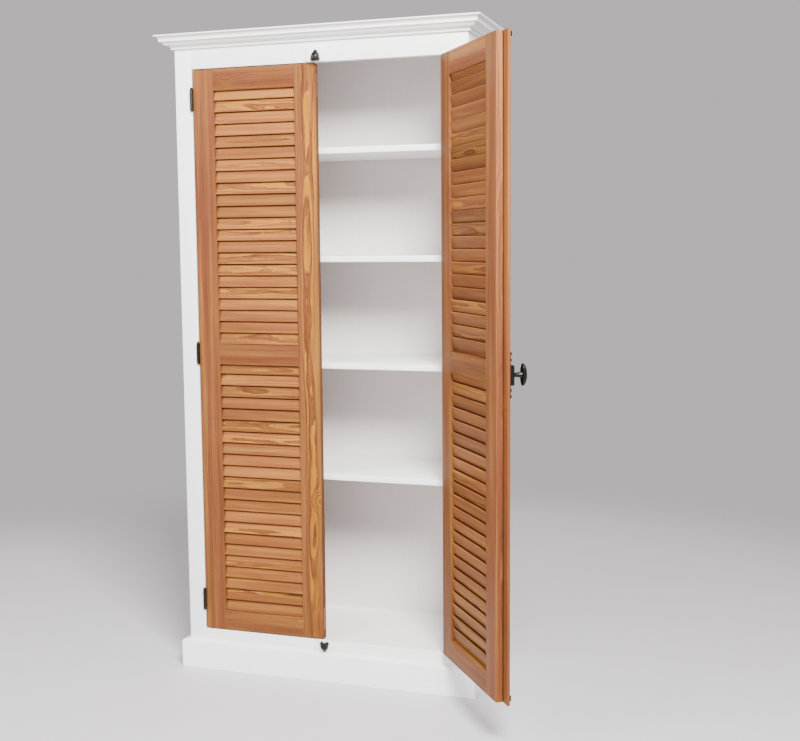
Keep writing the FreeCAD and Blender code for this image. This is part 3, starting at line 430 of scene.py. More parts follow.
    def _laps(self, add: AddNode, grain: Socket, colour: Socket) -> Socket:
        """Paints shade on the part of each louvre's face that lies behind its neighbour.

        Args:
            add: Adds a node to the wood.
            grain: Place on the board, in metres.
            colour: Colour of the clean wood.

        Returns:
            The colour with the painted shade.
        """
        if not self.lap:
            return colour
        axes = add("SeparateXYZ", grain).node.outputs
        bare = add("Attribute", output="Fac", attribute_name="bare")
        facing = add("Math", axes["Y"], bare, operation="MULTIPLY")
        lapped = add("Math", facing, 0.5 * MM, operation="LESS_THAN")
        # width times thickness grows towards the lapped edge on both faces of a louvre
        product = add("Math", axes["X"], axes["Y"], operation="MULTIPLY")
        start, full = (-edge * self.slat_half_mm * MM * MM for edge in self.lap_mm)
        within = add("MapRange", product, start, full, 0.0, self.lap)
        covered = add("Math", within, lapped, operation="MULTIPLY")
        # painted shade: the lapped faces are mixed towards a dark brown that stands for the shadow between louvres
        return add("Mix", covered, colour, self.dust, data_type="RGBA")

    def _gathered(self, add: AddNode, colour: Socket) -> Socket:
        """Paints shade into the corners and joints where shadow falls, in the knots' darkest colour."""
        held = add("Attribute", output="Fac", attribute_name="gathered")
        return add("Mix", held, colour, self.knot, data_type="RGBA")

    def _surface(self, add: AddNode, colour: Socket, year: Socket, placed: Socket) -> None:
        """Varnishes a brushed face, where late wood stands a little proud.

        Args:
            add: Adds a node to the wood.
            colour: The wood's colour.
            year: Place within a year's ring.
            placed: Place in the log, in metres.
        """
        fibres = self._drawn_out(add, placed, Pattern.BRUSHED.value, 1.0)
        height = add("Math", year, 0.4, fibres, operation="MULTIPLY_ADD")
        depth = self.relief_mm * MM
        relief = add("Bump", sockets={"Height": height, "Strength": 0.3, "Distance": depth})
        gloss = add("MapRange", fibres, 0.0, 1.0, self.roughness - 0.06, self.roughness + 0.08)
        sockets = {"Roughness": gloss, "Normal": relief, "IOR": 1.45, "Specular IOR Level": 0.08}
        add("OutputMaterial", add("BsdfPrincipled", colour, sockets=sockets))


@dataclass(frozen=True)
class SatinPaint:
    """White water-based satin enamel, brushed and rolled on smooth wood.

    The eye sees an even warm white with a soft sheen, faint strokes along each board and a
    shallow orange peel.

    Attributes:
        stroke: The way the board runs.
        coat: First word of the material's name.
        white: Main white.
        shade: White of the cloudier patches.
        cloud_mm: Size of the patches.
        peel_mm: Size of the orange peel.
        roughness: Mean roughness.
        stroke_depth_mm: Depth of the brush strokes.
    """

    stroke: Stroke
    coat: str = "satin"
    white: str = "#F5F4F3"
    shade: str = "#ECEBE9"
    cloud_mm: float = 1000 / 3
    peel_mm: float = 1000 / 260
    roughness: float = 0.4
    stroke_depth_mm: float = 0.05

    def material(self) -> Material:
        """Builds the paint on Object coordinates, with its strokes along the board.

        Returns:
            The material.
        """
        material, add = blank_material(f"{self.coat}_white_enamel_{self.stroke.name.lower()}")
        place = add("TexCoord", output="Object")
        drawn = add("Mapping", place, sockets={"Scale": self.stroke.value})
        strokes = add("TexNoise", drawn, 1.0, 3.0)
        peel = add("TexNoise", place, 1.0 / (self.peel_mm * MM), 1.0)
        cloud = add("TexNoise", place, 1.0 / (self.cloud_mm * MM), 2.0)
        mixed = add("Math", cloud, 0.8, strokes, operation="MULTIPLY_ADD")
        tone = add("MapRange", mixed, 0.6, 1.2)
        colour = add("Mix", tone, self.white, self.shade, data_type="RGBA")
        height = add("Math", peel, 0.6, strokes, operation="MULTIPLY_ADD")
        depth = self.stroke_depth_mm * MM
        relief = add("Bump", sockets={"Height": height, "Strength": 0.25, "Distance": depth})
        gloss = add("MapRange", strokes, 0.0, 1.0, self.roughness - 0.05, self.roughness + 0.07)
        sockets = {"Roughness": gloss, "Normal": relief, "IOR": 1.48}
        add("OutputMaterial", add("BsdfPrincipled", colour, sockets=sockets))
        return material


@dataclass(frozen=True)
class MetalFinish:
    """A metal surface with slight mottling and a fine relief.

    Attributes:
        name: Common name of the metal and how its surface was made.
        base: Main colour.
        rubbed: Colour of the mottled patches.
        metallic: How much of the surface is bare metal.
        roughness: Mean roughness.
        mottle_mm: Size of the patches.
        grit_mm: Size of the relief.
        relief_mm: Depth of the relief.
    """

    name: str
    base: str
    rubbed: str
    metallic: float
    roughness: float
    mottle_mm: float
    grit_mm: float
    relief_mm: float

    def material(self) -> Material:
        """Builds the metal on Object coordinates.

        Returns:
            The material.
        """
        material, add = blank_material(self.name)
        place = add("TexCoord", output="Object")
        mottle = add("TexNoise", place, 1.0 / (self.mottle_mm * MM), 4.0)
        grit = add("TexNoise", place, 1.0 / (self.grit_mm * MM), 2.0)
        colour = add("Mix", mottle, self.base, self.rubbed, data_type="RGBA")
        gloss = add("MapRange", mottle, 0.0, 1.0, self.roughness - 0.1, self.roughness + 0.1)
        depth = self.relief_mm * MM
        relief = add("Bump", sockets={"Height": grit, "Strength": 0.4, "Distance": depth})
        sockets = {"Metallic": self.metallic, "Roughness": gloss, "Normal": relief}
        add("OutputMaterial", add("BsdfPrincipled", colour, sockets=sockets))
        return material


@dataclass
class Finishes:
    """Every material of the cabinet, made once.

    Attributes:
        stile_wood: Wood of the stiles, the rails and the cover strip.
        slat_wood: Wood of the louvres.
        paint: Paint of the carcass, for each way in which a board runs.
        iron: Hinges, keepers and bolt.
        steel: Hidden fixings.
        bronze: The left door's flush bolts.
        lacquered: Strike plates in the painted frame.
        inside: Paint of the back panel, darker and warmer as painted shade.
    """

    stile_wood: Material = field(init=False)
    slat_wood: Material = field(init=False)
    paint: dict[Stroke, Material] = field(init=False)
    iron: Material = field(init=False)
    steel: Material = field(init=False)
    bronze: Material = field(init=False)
    lacquered: Material = field(init=False)
    inside: Material = field(init=False)

    def __post_init__(self) -> None:
        """Builds the materials."""
        self.stile_wood = StainedSpruce("brushed_stained_spruce_frame").material()
        self.slat_wood = StainedSpruce(
            "brushed_stained_spruce_louvres",
            light="#8B582D",
            honey="#90602E",
            body="#7D4A26",
            stripe="#5E3519",
            gold="#976422",
            pale="#AD7740",
            outline="#4A2814",
            russet="#6E3D24",
            lap=0.94,
            ring_mm=3.6,
            wander_mm=6.0,
            knot_share=0.2,
        ).material()
        self.paint = {stroke: SatinPaint(stroke).material() for stroke in Stroke}
        # cast and forged ironwork under black stove wax: glossy, with paler rubbed patches
        self.iron = MetalFinish(
            "black_waxed_cast_iron", "#1B1A1A", "#37342F", 0.85, 0.32, 9.0, 1.3, 0.08
        ).material()
        # zinc-plated steel: bright grey with a fine drawn texture
        self.steel = MetalFinish(
            "zinc_plated_steel", "#BDBDBA", "#A5A6A4", 1.0, 0.32, 5.0, 0.6, 0.02
        ).material()
        # steel bronzed brown to go with the stained wood: dull, with slightly redder patches
        self.bronze = MetalFinish(
            "brown_bronzed_steel", "#7A4A28", "#8C5833", 0.5, 0.5, 7.0, 0.8, 0.03
        ).material()
        # steel plates lacquered with the frame: the white of the paint, smoother and a little duller
        self.lacquered = MetalFinish(
            "white_lacquered_steel", "#EDEBE9", "#E6E4E2", 0.0, 0.42, 12.0, 1.0, 0.02
        ).material()
        # the back panel's white is darker and warmer: painted shade for the inside of the carcass, which gets less
        # light
        self.inside = SatinPaint(
            Stroke.UPRIGHT, coat="thin_satin", white="#E6DEDB", shade="#DDD5D2"
        ).material()


# ------------------------------------------------------------------------------------- modelling


def near(value: float, target: float, slack: float = 0.05 * MM) -> bool:
    """Whether two lengths agree to within a slack."""
    return abs(value - target) < slack


def both_at(axis: str, level: float) -> EdgeTest:
    """Makes a test of whether both ends of an edge lie at one level of an axis."""
    return lambda a, b: near(getattr(a, axis), level) and near(getattr(b, axis), level)


class Bench:
    """The modelling steps that the pieces share, each one as it is done by hand."""

    @staticmethod
    def clear() -> None:
        """Deselects every object."""
        if bpy.context.object and bpy.context.object.mode != "OBJECT":
            bpy.ops.object.mode_set(mode="OBJECT")
        bpy.ops.object.select_all(action="DESELECT")

    @staticmethod
    def use(thing: Thing) -> None:
        """Makes one object the only one selected, and active.

        Args:
            thing: The object.
        """
        Bench.clear()
        thing.select_set(True)
        bpy.context.view_layer.objects.active = thing

    @staticmethod
    @contextmanager
    def editing(thing: Thing, select: str = "DESELECT") -> Iterator[None]:
        """Opens an object in edit mode for the steps inside the with block.

        Args:
            thing: Object to edit.
            select: SELECT to start with everything selected, KEEP to start with what is selected.
        """
        Bench.use(thing)
        bpy.ops.object.mode_set(mode="EDIT")
        if select != "KEEP":
            bpy.ops.mesh.select_all(action=select)
        yield
        bpy.ops.object.mode_set(mode="OBJECT")

    @staticmethod
    def settle(thing: Thing) -> None:
        """Moves an object's place, turn and size into its mesh."""
        Bench.use(thing)
        bpy.ops.object.transform_apply(location=True, rotation=True, scale=True)

    @staticmethod
    def block(name: str, low: Sequence[float], high: Sequence[float]) -> Thing:
        """Adds a rectangular block between two corners.

        Args:
            name: The object's name.
            low: Lowest corner, in metres.
            high: Highest corner, in metres.

        Returns:
            The block, ready to be shaped.
        """
        Bench.clear()
        centre = [(a + b) / 2 for a, b in zip(low, high)]
        size = [b - a for a, b in zip(low, high)]
        bpy.ops.mesh.primitive_cube_add(size=1.0, location=centre, scale=size)
        made = bpy.context.object
        made.name = name
        Bench.settle(made)
        return made

    @staticmethod
    def pick_edges(thing: Thing, wanted: EdgeTest) -> int:
        """Selects the edges whose two ends pass a test.

        Args:
            thing: Object, in object mode.
            wanted: Test of an edge's two end points.

        Returns:
            How many edges were selected.
        """
        bpy.context.tool_settings.mesh_select_mode = (False, True, False)
        mesh = thing.data
        for items in (mesh.vertices, mesh.edges, mesh.polygons):
            items.foreach_set("select", np.zeros(len(items), dtype=bool))
        count = 0
        for edge in mesh.edges:
            first, last = (mesh.vertices[i].co for i in edge.vertices)
            if wanted(first, last):
                edge.select = True
                count += 1
        return count

    @staticmethod
    def round_edges(thing: Thing, radius: float, wanted: EdgeTest, segments: int = 3) -> None:
        """Rounds the edges that pass a test.

        Args:
            thing: Object to round.
            radius: Radius in metres.
            wanted: Test of an edge's two end points.
            segments: Faces across each rounded edge.
        """
        if Bench.pick_edges(thing, wanted):
            with Bench.editing(thing, "KEEP"):
                bpy.ops.mesh.bevel(
                    offset=radius, offset_type="OFFSET", segments=segments, affect="EDGES"
                )

    @staticmethod
    def cut(thing: Thing, point: Point, away: Point) -> None:
        """Cuts a mesh with a plane, drops the side that a direction points to and closes the cut.

        Args:
            thing: Object to cut.
            point: Point on the plane.
            away: Normal, towards the side that is dropped.
        """
        with Bench.editing(thing, "SELECT"):
            bpy.ops.mesh.bisect(
                plane_co=point, plane_no=away, use_fill=True, clear_outer=True, clear_inner=False
            )

    @staticmethod
    def score(thing: Thing, x: float) -> None:
        """Adds a line of points round a mesh at one place along X."""
        with Bench.editing(thing, "SELECT"):
            bpy.ops.mesh.bisect(plane_co=(x, 0, 0), plane_no=(1, 0, 0))

    @staticmethod
    def carve(thing: Thing, tool: Thing) -> None:
        """Takes one closed shape out of another and removes the tool.

        Args:
            thing: Object to carve.
            tool: Shape of the hollow.
        """
        Bench.use(thing)
        hollow = thing.modifiers.new("carve", "BOOLEAN")
        hollow.operation = "DIFFERENCE"
        hollow.object = tool
        bpy.ops.object.modifier_apply(modifier=hollow.name)
        bpy.data.objects.remove(tool)

    @staticmethod
    def tidy_normals(thing: Thing) -> None:
        """Merges doubled points and turns every face outwards.

        Args:
            thing: Object to mend.
        """
        with Bench.editing(thing, "SELECT"):
            bpy.ops.mesh.remove_doubles(threshold=1e-6)
            bpy.ops.mesh.normals_make_consistent(inside=False)

    @staticmethod
    def turned(
        name: str, rings: Section, base: Point, turn: Point = UPWARDS, sides: int = 40
    ) -> Thing:
        """Turns a round shape by extruding a disc along its axis, ring by ring.

        Args:
            name: The object's name.
            rings: Distance along the axis and radius of each ring, in millimetres.
            base: Place of the axis's start, in metres.
            turn: Rotation that lays the axis, which starts along +Z.
            sides: Faces around.

        Returns:
            The closed turned shape.
        """
        Bench.clear()
        start, radius = rings[0]
        bpy.ops.mesh.primitive_circle_add(
            vertices=sides, radius=radius * MM, fill_type="NGON", location=(0, 0, start * MM)
        )
        made = bpy.context.object
        made.name = name
        Bench.settle(made)
        with Bench.editing(made, "SELECT"):
            for height, wide in rings[1:]:
                step = (0, 0, (height - start) * MM)
                bpy.ops.mesh.extrude_region_move(TRANSFORM_OT_translate={"value": step})
                share = wide / radius
                bpy.ops.transform.resize(
                    value=(share, share, 1), center_override=(0, 0, height * MM)
                )
                start, radius = height, wide
        Bench.tidy_normals(made)
        made.rotation_euler = turn
        made.location = base
        Bench.settle(made)
        return made

    @staticmethod
    def joined(name: str, parts: Sequence[Thing]) -> Thing:
        """Joins several meshes into one object.

        Args:
            name: Name of the whole.
            parts: The meshes.

        Returns:
            The whole.
        """
        Bench.use(parts[0])
        for part in parts:
            part.select_set(True)
        bpy.ops.object.join()
        parts[0].name = name
        return parts[0]

    @staticmethod
    def smooth(thing: Thing, angle: float = 38.0) -> None:
        """Shades a mesh smooth across edges that turn by less than an angle in degrees."""
        Bench.use(thing)
        bpy.ops.object.shade_smooth_by_angle(angle=math.radians(angle))


class Hanging:
    """Where the right door's pieces are when it is shut, and how far it stands open."""

    def __init__(self) -> None:
        """Reads the hinge from the frame."""
        joint = next(j for j in frame["joints"] if j["name"] == "right_door_hinge")
        pivot = Vector(joint["pos_m"])
        angle = -math.radians(joint["range_deg"][0])
        self.open = (
            Matrix.Translation(pivot)
            @ Matrix.Rotation(angle, 4, Vector(joint["axis"]))
            @ Matrix.Translation(-pivot)
        )

    def shut_box(self, node: str) -> Box:
        """Lowest and highest corner of a right door's node with the door shut.

        Args:
            node: Name of a node on the right door.

        Returns:
            The two corners in metres.
        """
        back = self.open.inverted()
        points = np.array([back @ v.co for v in frame["nodes"][node].data.vertices])
        return Vector(points.min(0)), Vector(points.max(0))

    def swing(self, thing: Thing) -> None:
        """Opens a piece of the right door, in its mesh, from where it was built shut."""
        thing.data.transform(self.open)
        thing.data.update()


HANGING = Hanging()


def finish_piece(
    thing: Thing, body: str, material: Material, nodes: Sequence[str]
) -> None:
    """Dresses a finished piece, ties it to its body and hides the nodes that it stands for.

    Args:
        thing: The piece, built in the shut position where it is on the right door.
        body: Body that it moves with.
        material: Its material.
        nodes: Nodes that it replaces.
    """
    if body in ("right_door", "knob", "upper_rod", "lower_rod"):
        HANGING.swing(thing)
    thing.data.materials.clear()
    thing.data.materials.append(material)
    Bench.smooth(thing)
    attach(thing, body)
    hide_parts(*nodes)
    LOG.info("%s: %d faces on %s", thing.name, len(thing.data.polygons), body)


# ------------------------------------------------------------------------------------- timber


@dataclass
class Timber:
    """A piece of wood's own directions, written into its mesh for the grain to follow.

    Attributes:
        across: Unit vector over the width.
        through: Unit vector through the thickness.
        along: Unit vector along the fibres.
    """

    across: Vector
    through: Vector
    along: Vector

    def mark(
        self,
        thing: Thing,
        centres: Sequence[Vector],
        cuts: Sequence[Point],
        bare: Sequence[float] | None = None,
    ) -> None:
        """Writes the grain and cut attributes of one board, or of equal blocks of points.

        Args:
            thing: Mesh of one board, or of several with the same number of points each.
            centres: Centre of each board.
            cuts: For each board, how far the heart of its log lies aside and behind, in metres,
                and how much lighter than the others it is.
            bare: For each board, 1 where no neighbour laps its back, -1 where none laps its
                face, or 0.
        """
        mesh = thing.data
        points = np.empty(len(mesh.vertices) * 3)
        mesh.vertices.foreach_get("co", points)
        points = points.reshape(-1, 3)
        block = len(points) // len(centres)
        owner = np.minimum(np.arange(len(points)) // block, len(centres) - 1)
        offsets = points - np.array(centres)[owner]
        basis = np.array([self.across, self.through, self.along])
        for name, values in (("grain", offsets @ basis.T), ("cut", np.array(cuts)[owner])):
            layer = mesh.attributes.new(name, "FLOAT_VECTOR", "POINT")
            layer.data.foreach_set("vector", values.ravel())
        sides = np.array(bare or [0.0] * len(centres))
        mesh.attributes.new("bare", "FLOAT", "POINT").data.foreach_set("value", sides[owner])

    @staticmethod
    def stain_edge(thing: Thing, held: Callable[[Vector], float]) -> None:
        """Writes where painted shade darkens a board, in its corners and joints.

        Args:
            thing: Mesh of one board.
            held: How much painted shade a point takes, from 0 to 1.
        """
        values = [held(vertex.co) for vertex in thing.data.vertices]
        layer = thing.data.attributes.new("gathered", "FLOAT", "POINT")
        layer.data.foreach_set("value", values)


UPRIGHT_GRAIN = Timber(Vector((1, 0, 0)), Vector((0, 1, 0)), Vector((0, 0, 1)))
LEVEL_GRAIN = Timber(Vector((0, 0, 1)), Vector((0, 1, 0)), Vector((1, 0, 0)))


@dataclass(frozen=True)
class BoltSeat:
    """Hollows in the wood round one of the left door's flush bolts.

    Attributes:
        level: Which of the two bolts.
        radius: Radius of the bolt.
        fit: Room round the bolt in the door.
        strike_fit: Room round the bolt in the rail.
        reach: How far the rail's hole goes from the bolt's tip.
        slot: Ends of the lever's slot, from the bolt's tail.
        slot_half: Half the slot's width.
        plate: Ends of the plate's recess, from the bolt's tail.
        plate_half: Half the recess's width.
        plate_depth: Depth of the recess.
    """

    level: Level
    radius: float = 2.5 * MM
    fit: float = 0.1 * MM
    strike_fit: float = 0.5 * MM
    reach: float = 17.0 * MM
    slot: tuple[float, float] = (7.9 * MM, 24.1 * MM)
    slot_half: float = 2.1 * MM
    plate: tuple[float, float] = (-17.0 * MM, 49.0 * MM)
    plate_half: float = 6.0 * MM
    plate_depth: float = 2.0 * MM

    def _bolt(self) -> tuple[float, float, float, float]:
        """Measures the bolt.

        Returns:
            X and Y of its axis, and the levels of its tail and tip.
        """
        low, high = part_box(f"flush_bolt_{self.level.word}")
        ends = (low.z, high.z) if self.level is Level.UPPER else (high.z, low.z)
        return low.x + self.radius, (low.y + high.y) / 2, *ends

    def _bore(self, start: float, length: float, room: float) -> Thing:
        """Makes the tool for a round hole along the bolt's axis.

        Args:
            start: Level at which the hole starts.
            length: Length of the hole, away from the middle of the door.
            room: Room round the bolt.

        Returns:
            The tool.
        """
        x, y, _, _ = self._bolt()
        wide = (self.radius + room) / MM
        rings = ((0.0, wide), (length / MM, wide))
        return Bench.turned("bore", rings, (x, y, start), self.level.turn, 32)

    def in_rail(self) -> Thing:
        """Makes the tool for the hole that the bolt shoots into."""
        return self._bore(self._bolt()[3], self.reach, self.strike_fit)

    def in_stile(self, edge: float) -> list[Thing]:
        """Makes the tools for the bolt's bore, its lever's slot and its plate's recess.

        Args:
            edge: X of the stile's free edge.

        Returns:
            The three tools, which all break out a millimetre past the wood.
        """
        x, y, tail, tip = self._bolt()
        up = self.level.value
        tools = [self._bore(tail - up * self.fit, abs(tip - tail) + self.fit + MM, self.fit)]
        for name, inner, half, ends in (
            ("lever_slot", x, self.slot_half, self.slot),
            ("plate_recess", edge - self.plate_depth, self.plate_half, self.plate),
        ):
            low, high = sorted(tail + up * end for end in ends)
            tools.append(Bench.block(name, (inner, y - half, low), (edge + MM, y + half, high)))
        return tools


# ------------------------------------------------------------------------------------- carcass


@dataclass
class PaintedBoards:
    """The carcass's painted boards that show their edges, with softened arrises.

    Attributes:
        finishes: The cabinet's materials.
        frame_arris: Radius on the face frame and the keepers' blocks.
        shelf_arris: Radius on the shelves.
        shelf_count: How many shelves there are.
    """

    finishes: Finishes
    frame_arris: float = 0.8 * MM
    shelf_arris: float = 1.5 * MM
    shelf_count: int = 4

    def build(self) -> None:
        """Makes the face frame, the shelves and the keepers' blocks."""
        inner = {side: self._frame_stile(side) for side in Side}
        for rail, level in (("head", Level.UPPER), ("bottom", Level.LOWER)):
            low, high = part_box(f"face_frame_{rail}_rail")
            low.x, high.x = inner[Side.LEFT], inner[Side.RIGHT]
            seats = [BoltSeat(level).in_rail()]
            self._board(f"face_frame_{rail}_rail", (low, high), self.frame_arris, tools=seats)
        for number in range(1, self.shelf_count + 1):
            self._board(f"shelf_{number}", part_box(f"shelf_{number}"), self.shelf_arris)
        for word in ("top", "bottom"):
            self._board(f"keeper_block_{word}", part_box(f"keeper_block_{word}"), self.frame_arris)

    def _frame_stile(self, side: Side) -> float:
        """Makes one stile of the face frame.

        Args:
            side: Which of the two.

        Returns:
            X of its inner edge.
        """
        name = f"face_frame_stile_{side.word}"
        low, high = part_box(name)
        self._board(name, (low, high), self.frame_arris, Stroke.UPRIGHT)
        return high.x if side is Side.LEFT else low.x

    def _board(
        self,
        node: str,
        box: Box,
        arris: float,
        stroke: Stroke = Stroke.ACROSS,
        tools: Sequence[Thing] = (),
    ) -> None:
        """Makes one painted board with rounded arrises in a node's place, and carves it.

        Args:
            node: The node.
            box: Lowest and highest corner.
            arris: Radius of its edges.
            stroke: The way it was painted.
            tools: Shapes of its hollows.
        """
        board = Bench.block(f"painted_{node}", *box)
        Bench.round_edges(board, arris, lambda first, last: True)
        for tool in tools:
            Bench.carve(board, tool)
        finish_piece(board, "carcass", self.finishes.paint[stroke], [node])


@dataclass
class Moulding:
    """A painted strip of one section round the front and sides, mitred at the front corners.

    Attributes:
        name: First word of its three nodes.
        section: Reach out from the carcass and level, in millimetres, from the top back edge to
            the bottom back edge.
        finishes: The cabinet's materials.
    """

    name: str
    section: Section
    finishes: Finishes

    def build(self) -> None:
        """Makes the front length and both returns."""
        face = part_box("face_frame_stile_left")[0].y
        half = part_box("face_frame_stile_right")[1].x
        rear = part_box("side_panel_left")[1].y
        front = self._strip(f"{self.name}_front", half * 2, (True, True))
        front.location = (0, face, 0)
        self._finish(front, "front", Stroke.ACROSS)
        for side, turn in ((Side.LEFT, -90), (Side.RIGHT, 90)):
            mitres = (side is Side.RIGHT, side is Side.LEFT)
            strip = self._strip(f"{self.name}_{side.word}", rear - face, mitres)
            strip.rotation_euler = (0, 0, math.radians(turn))
            strip.location = (side.value * half, (rear + face) / 2, 0)
            self._finish(strip, side.word, Stroke.DEEP)

    def _strip(self, name: str, length: float, mitres: tuple[bool, bool]) -> Thing:
        """Extrudes the section's outline into a strip along X and cuts its two ends.

        Args:
            name: The strip's name.
            length: Length at the carcass, in metres.
            mitres: For the left and the right end, whether it is mitred.

        Returns:
            The strip, with its back at Y = 0.
        """
        top = self.section[0][1]
        reach = self.section[1][0]
        spare = 2 * max(out for out, _ in self.section) * MM
        Bench.clear()
        bpy.ops.mesh.primitive_plane_add(size=1.0, location=(0, -reach * MM / 2, top * MM))
        strip = bpy.context.object
        strip.name = name
        strip.scale = (length + 2 * spare, reach * MM, 1)
        Bench.settle(strip)
        Bench.pick_edges(strip, both_at("y", -reach * MM))
        with Bench.editing(strip, "KEEP"):
            last = self.section[1]
            for point in (*self.section[2:], self.section[0]):
                step = (0, (last[0] - point[0]) * MM, (point[1] - last[1]) * MM)
                bpy.ops.mesh.extrude_region_move(TRANSFORM_OT_translate={"value": step})
                last = point
        Bench.tidy_normals(strip)
        for sign, mitred in zip((-1, 1), mitres):
            away = (sign, 1, 0) if mitred else (sign, 0, 0)
            Bench.cut(strip, (sign * length / 2, 0, 0), away)
        Bench.tidy_normals(strip)
        return strip

    def _finish(self, strip: Thing, word: str, stroke: Stroke) -> None:
        """Puts a length in its place and dresses it.

        Args:
            strip: The length, already placed and turned.
            word: Last word of its node.
            stroke: The way it was painted.
        """
        Bench.settle(strip)
        strip.name = f"painted_{self.name}_{word}"
        paint = self.finishes.paint[stroke]
        finish_piece(strip, "carcass", paint, [f"{self.name}_{word}"])


def arc(
    centre: tuple[float, float], radius: float, start: float, end: float, steps: int
) -> list[tuple[float, float]]:
    """Points along an arc.

    Args:
        centre: Centre, in millimetres.
        radius: Radius, in millimetres.
        start: First angle, in degrees.
        end: Last angle, in degrees.
        steps: Number of steps between the two.

    Returns:
        The points, both ends included.
    """
    angles = (math.radians(start + (end - start) * i / steps) for i in range(steps + 1))
    return [(centre[0] + radius * math.cos(a), centre[1] + radius * math.sin(a)) for a in angles]


def cornice_section(top: float = 1950.0) -> Section:
    """Crown section: a flat lip, a hollow, a small step, an ogee and a thin foot.

    Args:
        top: Level of the cornice's top, in millimetres.

    Returns:
        Reach and level of each point, in millimetres.
    """
    return [
        (0.0, top),
        (45.2, top),
        (46.0, top - 0.8),
        (46.0, top - 3.4),
        (45.4, top - 4.0),
        *arc((46.6, top - 16.4), 12.4, 95, 172, 8),
        (34.6, top - 16.0),
        *arc((34.0, top - 16.6), 0.6, 60, 0, 2),
        (34.2, top - 18.6),
        *arc((34.4, top - 29.6), 11.0, 92, 150, 5),
        *arc((15.6, top - 18.8), 10.6, -32, -88, 5),
        (12.0, top - 30.4),
        *arc((12.6, top - 36.0), 5.0, 112, 178, 4),
        (7.6, top - 38.0),
        (7.0, top - 39.4),
        (6.0, top - 40.0),
        (0.0, top - 40.0),
    ]


def plinth_section(top: float = 88.0, reach: float = 20.0) -> Section:
    """Plinth section: a plain board with a small chamfer on its top outer edge.

    Args:
        top: Level of the plinth's top, in millimetres.
        reach: Thickness of the board, in millimetres.

    Returns:
        Reach and level of each point, in millimetres.
    """
    return [
        (0.0, top),
        (reach - 4.3, top),
        (reach - 3.7, top - 0.3),
        (reach - 0.4, top - 3.6),
        (reach, top - 4.4),
        (reach, 0.5),
        (reach - 0.5, 0.0),
        (0.0, 0.0),
    ]


# ------------------------------------------------------------------------------------- doors


